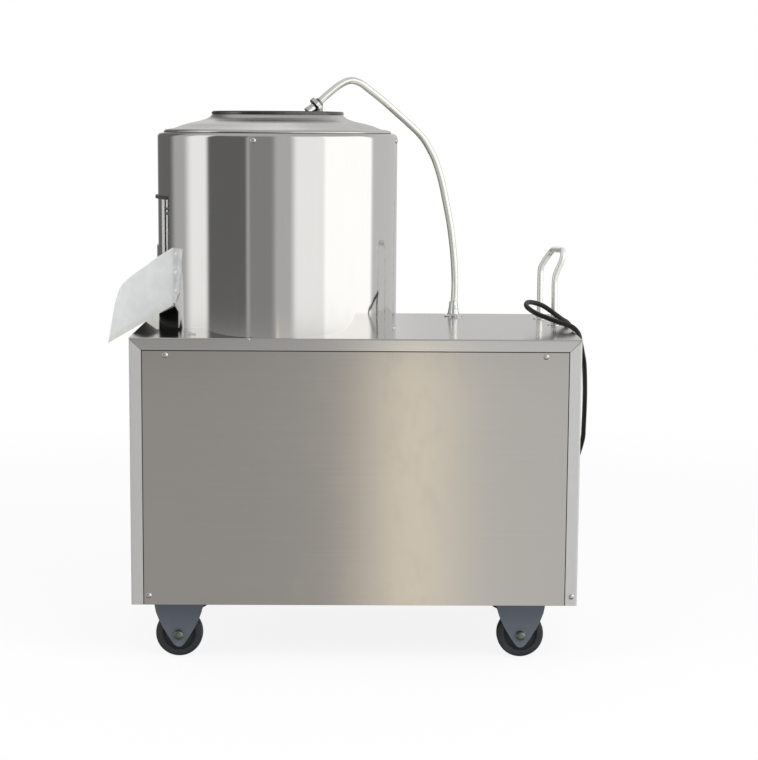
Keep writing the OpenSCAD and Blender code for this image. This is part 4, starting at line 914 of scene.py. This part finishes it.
class PEELER_OT_cabinet(bpy.types.Operator):
    """Cabinet sheets with their folds, mitres and round-head screws"""

    bl_idname = "peeler.cabinet"
    bl_label = "Cabinet"

    def execute(self, context):
        fold = context.scene.peeler_sizes.fold
        self.cover(fold)
        for side, name in ((1, "right"), (-1, "left")):
            self.wall(name, side, fold)
        edge = HALF_W - FLANGE - GAP
        low, high = (-edge, -HALF_D, FOOT), (edge, SHEET - HALF_D, TOP - FLANGE - GAP)
        front = block("front_sheet", low, high, 0.5)
        dress(front, "brushed_sheet", replaces=("front_panel",))
        self.seams(edge)
        self.screws()
        paint_nodes("brushed_sheet", "back_panel")
        paint_nodes("frame_steel", "base_frame")
        return {"FINISHED"}

    def seams(self, edge):
        """Black sealing strip in the gap round the front sheet."""
        near, far, top = -HALF_D - 0.05, -HALF_D + 1.2, TOP - FLANGE
        corners = [
            ((-edge - 1, near, FOOT + 0.5), (-edge + 0.5, far, top)),
            ((edge - 0.5, near, FOOT + 0.5), (edge + 1, far, top)),
            ((-edge - 1, near, top - 1.3), (edge + 1, far, top + 0.3)),
        ]
        strips = [block("strip", low, high, 0.02, 1) for low, high in corners]
        dress(join("panel_seal", *strips), "black_rubber")

    def cover(self, fold):
        deselect()
        bpy.ops.mesh.primitive_plane_add(size=1, location=at(0, 0, TOP))
        cover = named("top_sheet")
        cover.scale = (2*HALF_W*MM, 2*HALF_D*MM, 1)
        bpy.ops.object.transform_apply(location=True, rotation=True, scale=True)
        reach = HALF_W - FLANGE
        for side in (-1, 1):
            y = at(0, side*HALF_D, 0).y
            edit(cover, "EDGE", lambda p, d: abs(p.y - y) < 1e-5 and abs(p.z - TOP*MM) < 1e-5)
            bpy.ops.mesh.extrude_region()
            bpy.ops.transform.translate(value=(0, 0, -FLANGE*MM))
            bpy.ops.transform.resize(value=(reach/HALF_W, 1, 1), center_override=at(0, 0, 0))
        edit(cover, "EDGE", lambda p, d: abs(p.z - TOP*MM) < 1e-5 and abs(d.x) > 0.9)
        bpy.ops.mesh.bevel(offset=fold, segments=5, affect="EDGES")
        bpy.ops.object.mode_set(mode="OBJECT")
        modify(cover, "SOLIDIFY", thickness=SHEET*MM, offset=-1)
        dress(flatten(cover, 25), "polished_sheet", replaces=("top_cover",))

    def wall(self, name, side, fold):
        deselect()
        bpy.ops.mesh.primitive_plane_add(size=1)
        wall = named(name + "_wall")
        top = TOP - SHEET
        corners = [(HALF_W, y, z) for z in (FOOT, top) for y in (-HALF_D, HALF_D)]
        for vertex, corner in zip(wall.data.vertices, corners):
            vertex.co = at(*corner)
        for end in (-1, 1):
            y = at(0, end*HALF_D, 0).y
            x = at(HALF_W, 0, 0).x
            edit(wall, "EDGE", lambda p, d: abs(p.y - y) < 1e-5 and abs(p.x - x) < 1e-5)
            bpy.ops.mesh.extrude_region()
            bpy.ops.transform.translate(value=(-FLANGE*MM, 0, 0))
            bpy.ops.object.mode_set(mode="OBJECT")
            for vertex in wall.data.vertices:
                if vertex.co.x < x - 0.01 and vertex.co.z > top*MM - 1e-5:
                    vertex.co.z = (TOP - FLANGE - 0.6)*MM
        edit(wall, "EDGE", lambda p, d: abs(p.x - x) < 1e-5 and abs(d.z) > 0.9)
        bpy.ops.mesh.bevel(offset=fold, segments=5, affect="EDGES")
        outward()
        if side < 0:
            for vertex in wall.data.vertices:
                vertex.co.x = 2*middle_x - vertex.co.x
            wall.data.flip_normals()
        flat = max(wall.data.polygons, key=lambda f: f.area)
        if flat.normal.x*side < 0:
            wall.data.flip_normals()
        modify(wall, "SOLIDIFY", thickness=SHEET*MM, offset=-1)
        dress(flatten(wall, 25), "satin_sheet", replaces=(name + "_panel",))

    def screws(self):
        head = turned("screw", [
            (2.4, -1.5), (2.4, 0), (4.5, 0), (4.5, 0.5), (4.2, 1.2), (3.5, 1.8), (2.4, 2.25),
            (1.1, 2.45), (0.2, 2.5),
        ], 32)
        for turn in (0, 90):
            deselect()
            bpy.ops.mesh.primitive_cube_add(
                size=1, location=(0, 0, 0.0024), rotation=(0, 0, math.radians(turn))
            )
            bar = bpy.context.object
            bar.scale = (0.0044, 0.0009, 0.0024)
            bpy.ops.object.transform_apply(location=True, rotation=True, scale=True)
            cut(head, bar)
        soften(head)
        upper, lower = (294, 491.5), (-322.5, 112)
        places = []
        for side in (-1, 1):
            for x, z in ((-upper[0], upper[1]), upper, lower, (340.5, 112)):
                places.append((at(x, side*HALF_D, z), (0, side, 0)))
        for a in (-99, -9, 81, 171):
            c, s = math.cos(math.radians(a)), math.sin(math.radians(a))
            places.append((at(DRUM_X + DRUM_R*c, DRUM_Y + DRUM_R*s, SEAM - 11), (c, s, 0)))
        copies = [
            settle(copy_of(head, "screw_copy"), place, way, 17 + 31*i)
            for i, (place, way) in enumerate(places)
        ]
        bpy.data.objects.remove(head)
        dress(join("round_screws", *copies), "chrome", replaces=("panel_screws",))


class PEELER_OT_drum(bpy.types.Operator):
    """Drum with its rounded shoulder, lid with a rolled rim, gate and guides"""

    bl_idname = "peeler.drum"
    bl_label = "Drum"

    def execute(self, context):
        centre = at(DRUM_X, DRUM_Y, 0)
        arc = [math.radians(a) for a in range(0, 91, 9)]
        outer = [(DRUM_R, TOP), (DRUM_R, TOP + 60), (DRUM_R, SEAM - 10)]
        outer += [(DRUM_R - 7 + 7*math.cos(a), SEAM - 7 + 7*math.sin(a)) for a in arc]
        inner = [(176, SEAM), (176, SEAM - 2)]
        inner += [(DRUM_R - 7 + 5*math.cos(a), SEAM - 7 + 5*math.sin(a)) for a in reversed(arc)]
        shell = settle(turned("drum_wall", outer + inner + [(192, TOP)], 192, closed=True), centre)
        low = (-340, DRUM_Y - OPENING_HALF, SILL)
        high = (-260, DRUM_Y + OPENING_HALF, SILL + OPENING_H)
        cutter = block("cutter", low, high, 0.2, 1)
        cut(shell, cutter)
        dress(soften(shell), "polished_steel", replaces=("drum_shell",))
        self.welds()
        self.lid(centre)
        self.guides()
        paint_nodes("guide_steel", "gate_guides")
        paint_nodes("polished_steel", "discharge_gate")
        paint_nodes("chrome", "gate_handle", "nozzle_clip")
        paint_nodes("abrasive", "drum_lining", "abrasive_disc")
        paint_nodes("satin_sheet", "drum_floor")
        return {"FINISHED"}

    def welds(self):
        """Short weld beads at the drum's foot, and one spot on the top cover's front bend."""
        beads = []
        for turn in (-133, -13, 107):
            for k, (along, length, height) in enumerate(
                [(-7, 7, 2.6), (-1, 5, 4.2), (4.5, 8, 2.0), (10, 4, 3.2)]
            ):
                angle = math.radians(turn + math.degrees(along/DRUM_R))
                c, s = math.cos(angle), math.sin(angle)
                bead = turned("weld", [
                    (length/2, 0), (length*0.42, height*0.45), (length*0.24, height*0.8), (0.3, height),
                ], 14)
                place = at(DRUM_X + DRUM_R*c, DRUM_Y + DRUM_R*s, TOP - 0.3)
                beads.append(settle(bead, place, (0.1*c, 0.1*s, 1), 40*k))
        spot = turned("weld", [(2.3, 0), (2.0, 0.5), (1.2, 0.9), (0.3, 1.0)], 20)
        beads.append(settle(spot, at(-165, 1.2 - HALF_D, TOP - 1.1), (0, -1, 1)))
        dress(join("weld_beads", *beads), "chrome")

    def guides(self):
        """Black strips as painted shade where the gate slides in each guide, and the pins that hold each
        guide.
        """
        slot_shade_strips, pins = [], []
        for side in (-1, 1):
            y = DRUM_Y + side*91
            x = DRUM_X - 175.9
            near, far = sorted((y, y + side*0.25))
            low, high = (x + 0.3, near, GUIDE_LOW + 1), (x + 2.7, far, GUIDE_HIGH)
            # Painted shade: a thin black strip on the guide's face stands in for the shaded gap the gate
            # slides in.
            slot_shade_strips.append(block("slot", low, high, 0.08, 1))
            for height in (704, 711.5):
                pin = turned("pin", [(2.1, -0.5), (2.1, 0.5), (1.5, 0.9), (0.4, 1.0)], 16)
                pins.append(settle(pin, at(x + 3.4, y, height), (0, side, 0)))
        dress(join("guide_slot_shade_strips", *slot_shade_strips), "black_rubber")
        dress(join("guide_pins", *pins), "bolt_steel")

    def lid(self, centre):
        seam_r, neck_r = 184, 100.5
        foot = centre + Vector((0, 0, SEAM*MM))
        line = [
            (seam_r - 0.6, 1), (seam_r, 1.1), (seam_r, 1.7), (seam_r - 1.6, 4.2), (seam_r - 3.4, 5.1),
            (167.8, 0.2*LID_H), (154, 0.35*LID_H), (139.9, 0.46*LID_H), (124.1, 0.56*LID_H),
            (neck_r + 13, 0.66*LID_H), (neck_r + 8, 0.76*LID_H), (neck_r + 5, 0.86*LID_H),
        ]
        back = [(r - 1.5, z - 1.5) for r, z in reversed(line[4:])]
        outline = line + [(neck_r + 3.5, 0.86*LID_H)] + back + [(seam_r - 3.5, 1)]
        lid = settle(turned("lid_sheet", outline, 192, closed=True, angle=40), foot)
        dress(lid, "lid_steel", replaces=("lid",))
        # The rolled rim is painted dark as painted shade.
        bead = [
            (103.75 + 3.25*math.cos(math.radians(a)), LID_H - 3.25 + 3.25*math.sin(math.radians(a)))
            for a in range(0, 360, 20)
        ]
        dress(settle(turned("mouth_rim", bead, 192, closed=True, angle=60), foot), "rim_steel")
        gasket = turned("lid_gasket", [(181, 0), (183.6, 0), (183.6, 1), (181, 1)], 192, closed=True)
        dress(settle(gasket, foot), "black_rubber")


class PEELER_OT_chute(bpy.types.Operator):
    """Materials of the discharge chute and its rivets"""

    bl_idname = "peeler.chute"
    bl_label = "Discharge chute"

    def execute(self, context):
        paint_nodes("chute_steel", "discharge_chute")
        paint_nodes("guide_steel", "chute_rivets")
        return {"FINISHED"}


class PEELER_OT_water(bpy.types.Operator):
    """Spray hose with its fitting, clamp ring and nozzle, water inlet and drain"""

    bl_idname = "peeler.water"
    bl_label = "Water"

    def execute(self, context):
        sizes = context.scene.peeler_sizes
        end = Vector(HOSE_POINTS[-1])
        way = Vector(NOZZLE_DIR).normalized()
        line = smooth_line([*HOSE_POINTS, tuple(end + way*15)], 4)
        hose = drawn_line("hose_tube", line, sizes.hose/MM, 6)
        hose.data.use_fill_caps = False
        only(hose)
        bpy.ops.object.convert(target="MESH")
        hose = bpy.context.object
        modify(hose, "SOLIDIFY", thickness=sizes.hose_wall, offset=-1)
        dress(soften(hose, 60), "hose_plastic", replaces=("spray_hose",))
        fitting = turned("hose_foot", [
            (6, 0), (15.2, 0), (16, 0.5), (16, 1.6), (15, 2.1), (12.6, 2.6), (11, 3.6), (10, 5.4),
            (9.3, 8), (8.6, 11.5), (8.9, 12), (8.8, 13.2), (8.2, 13.7), (7.7, 18), (7.2, 24.6),
            (6.9, 25.8), (6.2, 26),
        ], 64, angle=28)
        dress(settle(fitting, at(170, 159, TOP)), "chrome", replaces=("hose_fitting",))
        nozzle = turned("nozzle_body", [
            (3.8, 4), (3.8, 16), (5.2, 16), (5.6, 18), (6.4, 25), (7.6, 34), (8.3, 38), (8.3, 39),
            (7.7, 39.6), (4.4, 40), (3.4, 42), (3.0, 42),
        ], 48, angle=28)
        dress(settle(nozzle, at(*end), way), "chrome", replaces=("spray_nozzle",))
        ring = turned("hose_clamp", [
            (6.05, 11), (6.9, 11), (7.3, 11.6), (7.3, 15.8), (6.9, 16.4), (6.05, 16.4),
        ], 40, closed=True)
        dress(settle(ring, at(*end), way), "bolt_steel")
        paint_nodes("brass", "water_inlet", "water_pipe")
        paint_nodes("grey_plastic", "drain_pipe")
        paint_nodes("black_plastic", "drain_collar")
        return {"FINISHED"}


class PEELER_OT_handle(bpy.types.Operator):
    """Push handle of polished rod with its two feet"""

    bl_idname = "peeler.handle"
    bl_label = "Push handle"

    def execute(self, context):
        thick = context.scene.peeler_sizes.rod/MM
        bar = rod("handle_rod", smooth_line(HANDLE_POINTS, 4), thick, 8)
        dress(bar, "rod_chrome", replaces=("push_handle",))
        feet = []
        for p in (HANDLE_POINTS[0], HANDLE_POINTS[-1]):
            foot = turned("foot", [
                (5.1, 0), (11, 0), (11, 0.8), (10.2, 1.5), (7.4, 2), (6.2, 2.8), (5.6, 4), (5.1, 4),
            ], 48, closed=True)
            feet.append(settle(foot, at(p[0], p[1], TOP)))
        dress(join("handle_collars", *feet), "chrome", replaces=("handle_feet",))
        return {"FINISHED"}


class PEELER_OT_casters(bpy.types.Operator):
    """Casters with pressed forks, rubber tyres, hubs and domed axle bolts"""

    bl_idname = "peeler.casters"
    bl_label = "Casters"

    def execute(self, context):
        forks, bolts = [], []
        for name, (x, y) in WHEELS.items():
            forks += self.fork(x, y)
            bolts += self.axle(x, y)
            self.wheel(name, x, y)
        dress(join("fork_sheets", *forks), "caster_steel", replaces=("caster_forks",))
        dress(join("axle_bolts", *bolts), "bolt_steel", replaces=("caster_axles",))
        paint_nodes("bolt_steel", "hex_bolts")
        return {"FINISHED"}

    def fork(self, x, y):
        top = FOOT - 3
        h = FORK_HALF
        half = [
            (h, top), (h - 0.5, top - 6), (36.5, 74), (32.5, 63), (25.2, 48), (15.8, 32.3),
            (8.6, 21.8), (4.2, 17.6),
        ]
        outline = [(x - w, z) for w, z in half] + [(x, 16.6)] + [(x + w, z) for w, z in reversed(half)]
        pieces = []
        for side in (-1, 1):
            cheek = [(px, y + side*FORK_GAP, pz) for px, pz in outline]
            pieces.append(cut_sheet("fork_cheek", cheek, (0, side*FORK_T, 0), 0.7))
        reach = FORK_GAP + FORK_T
        web = block(
            "fork_web", (x - h, y - reach, top - FORK_T), (x + h, y + reach, top), 1.6, 4,
            lambda p, d: abs(d.x) > 0.9 and p.z > (top - 1)*MM,
        )
        plate = block(
            "fork_plate", (x - h - 4, y - 32, top), (x + h + 4, y + 32, FOOT), 5, 5,
            lambda p, d: abs(d.z) > 0.9,
        )
        return [*pieces, web, plate]

    def axle(self, x, y):
        reach = FORK_GAP + FORK_T
        shank = turned("axle", [(4, -reach - 5), (4, reach)], 24)
        head = turned("axle_head", [(radius, reach + height) for radius, height in (
            (4, 0), (9, 0), (9, 0.9), (7.8, 1.0), (7.8, 3.6), (7.3, 5.2), (6, 6.4), (4.2, 7.0),
            (1.6, 7.1), (0.4, 7.1),
        )], 40)
        nut = turned("axle_nut", [(radius, -reach - height) for radius, height in (
            (7.6, 0), (7.6, 5.6), (6.6, 6.4), (4, 6.5),
        )], 6, angle=20)
        bolt = join("axle_bolt", shank, head, nut)
        return [settle(bolt, at(x, y, AXLE), (0, -1, 0))]

    def wheel(self, name, x, y):
        r, h = 37.5, 12
        tyre = turned("tyre_" + name, [
            (r - 12, 3 - h), (r - 11.6, 0.8 - h), (r - 10.6, -h), (r - 4.6, -h), (r - 2.6, 0.7 - h),
            (r - 1.2, 2 - h), (r - 0.4, 4 - h), (r, 8 - h), (r, -1.2), (r - 0.6, -0.6), (r - 0.6, 0.6),
            (r, 1.2), (r, h - 8), (r - 0.4, h - 4), (r - 1.2, h - 2), (r - 2.6, h - 0.7), (r - 4.6, h),
            (r - 10.6, h), (r - 11.6, h - 0.8), (r - 12, h - 3),
        ], 72, closed=True)
        settle(tyre, at(x, y, AXLE), (0, -1, 0))
        dress(tyre, "tyre_rubber", name + "_wheel", replaces=("wheel_" + name,))
        hub = turned("hub_" + name, [
            (4.05, -13), (8.6, -13), (9, -12.6), (9, 4.4 - h), (10, 3.6 - h), (r - 15, 3.6 - h),
            (r - 14, 2.8 - h), (r - 12, 2.8 - h), (r - 12, h - 2.8), (r - 14, h - 2.8),
            (r - 15, h - 3.6), (10, h - 3.6), (9, h - 4.4), (9, 12.6), (8.6, 13), (4.05, 13),
        ], 64, closed=True)
        settle(hub, at(x, y, AXLE), (0, -1, 0))
        dress(hub, "hub_plastic", name + "_wheel")


class PEELER_OT_switch(bpy.types.Operator):
    """Switch box with its cover seam, collars and two push buttons"""

    bl_idname = "peeler.switch"
    bl_label = "Switch box"

    def execute(self, context):
        y, z = SWITCH_Y, SWITCH_Z
        def slab(name, near, far, inset, radius, steps, test=None):
            low = (HALF_W + near, y - 35 + inset, z - 40 + inset)
            high = (HALF_W + far, y + 35 - inset, z + 40 - inset)
            return block(name, low, high, radius, steps, test)

        base = slab("box_base", 0, 20, 0, 4, 5, lambda p, d: abs(d.x) > 0.9)
        cover = slab("box_cover", 20.6, 28, 0, 3.4, 5)
        seam = slab("box_seam", 19, 22, 1.2, 2, 3, lambda p, d: abs(d.x) > 0.9)
        for part in (base, cover, seam):
            holes = [
                settle(turned("hole", [(9.15, -13), (9.15, 3)], 48), at(HALF_W + 28, y, height), (1, 0, 0))
                for height in BUTTONS.values()
            ]
            cut(part, *holes)
        shell = flatten(join("switch_shell", base, cover, seam))
        dress(shell, "grey_plastic", replaces=("switch_box",))
        paint_nodes("black_rubber", "wiring")
        for name, height in BUTTONS.items():
            finish = "green_plastic" if name == "start" else "red_plastic"
            cap = turned(name + "_cap", [
                (8.9, -6), (9, 0.4), (9, 4.6), (8.4, 5.5), (7.2, 5.9), (6.6, 5.7), (4, 5.3), (0.4, 5.2),
            ], 48)
            settle(cap, at(HALF_W + 28, y, height), (1, 0, 0))
            dress(cap, finish, name + "_cap", replaces=(name + "_button",))
            collar = turned(name + "_collar", [
                (9.3, -1), (12.2, -1), (12.2, 0.6), (11.6, 1.3), (9.8, 1.5), (9.3, 1.2),
            ], 48, closed=True)
            settle(collar, at(HALF_W + 28, y, height), (1, 0, 0))
            dress(collar, "black_plastic")
        return {"FINISHED"}


class PEELER_OT_drive(bpy.types.Operator):
    """Materials of the shaft, bearings, pulleys, belt and motor"""

    bl_idname = "peeler.drive"
    bl_label = "Drive"

    def execute(self, context):
        paint_nodes("cast_iron", "bearing_housing", "driven_pulley", "motor_pulley")
        paint_nodes("bearing_steel", "upper_bearing", "lower_bearing", "shaft_nut")
        paint_nodes("bearing_steel", "main_shaft", "motor_shaft")
        paint_nodes("motor_paint", "motor_body", "motor_fan_cover", "terminal_box", "motor_plate")
        paint_nodes("aluminium", "turntable", "capacitor")
        paint_nodes("black_rubber", "v_belt", "shaft_seal")
        return {"FINISHED"}


class PEELER_PT_panel(bpy.types.Panel):
    """Lists the pieces of the peeler and their settings"""

    bl_label = "Potato peeler"
    bl_idname = "PEELER_PT_panel"
    bl_space_type = "VIEW_3D"
    bl_region_type = "UI"
    bl_category = "Peeler"

    def draw(self, context):
        for operator in PIECES:
            self.layout.operator(operator.bl_idname)
        for name in ("peeler_colours", "peeler_gloss", "peeler_sizes", "peeler_stage"):
            group = getattr(context.scene, name)
            box = self.layout.box()
            for key in group.__annotations__:
                box.prop(group, key)


PIECES = (
    PEELER_OT_stage,
    PEELER_OT_cord,
    PEELER_OT_cabinet,
    PEELER_OT_drum,
    PEELER_OT_chute,
    PEELER_OT_water,
    PEELER_OT_handle,
    PEELER_OT_casters,
    PEELER_OT_switch,
    PEELER_OT_drive,
)
GROUPS = {
    "peeler_colours": PeelerColours,
    "peeler_gloss": PeelerGloss,
    "peeler_sizes": PeelerSizes,
    "peeler_stage": PeelerStage,
}


def register():
    for name, group in GROUPS.items():
        bpy.utils.register_class(group)
        setattr(bpy.types.Scene, name, bpy.props.PointerProperty(type=group))
    for one in (*PIECES, PEELER_PT_panel):
        bpy.utils.register_class(one)


def unregister():
    for one in (PEELER_PT_panel, *reversed(PIECES)):
        bpy.utils.unregister_class(one)
    for name, group in GROUPS.items():
        delattr(bpy.types.Scene, name)
        bpy.utils.unregister_class(group)


def main():
    register()
    bpy.ops.peeler.stage()
    bpy.ops.peeler.cord()
    bpy.ops.peeler.cabinet()
    bpy.ops.peeler.drum()
    bpy.ops.peeler.chute()
    bpy.ops.peeler.water()
    bpy.ops.peeler.handle()
    bpy.ops.peeler.casters()
    bpy.ops.peeler.switch()
    bpy.ops.peeler.drive()


if __name__ == "__main__":
    main()
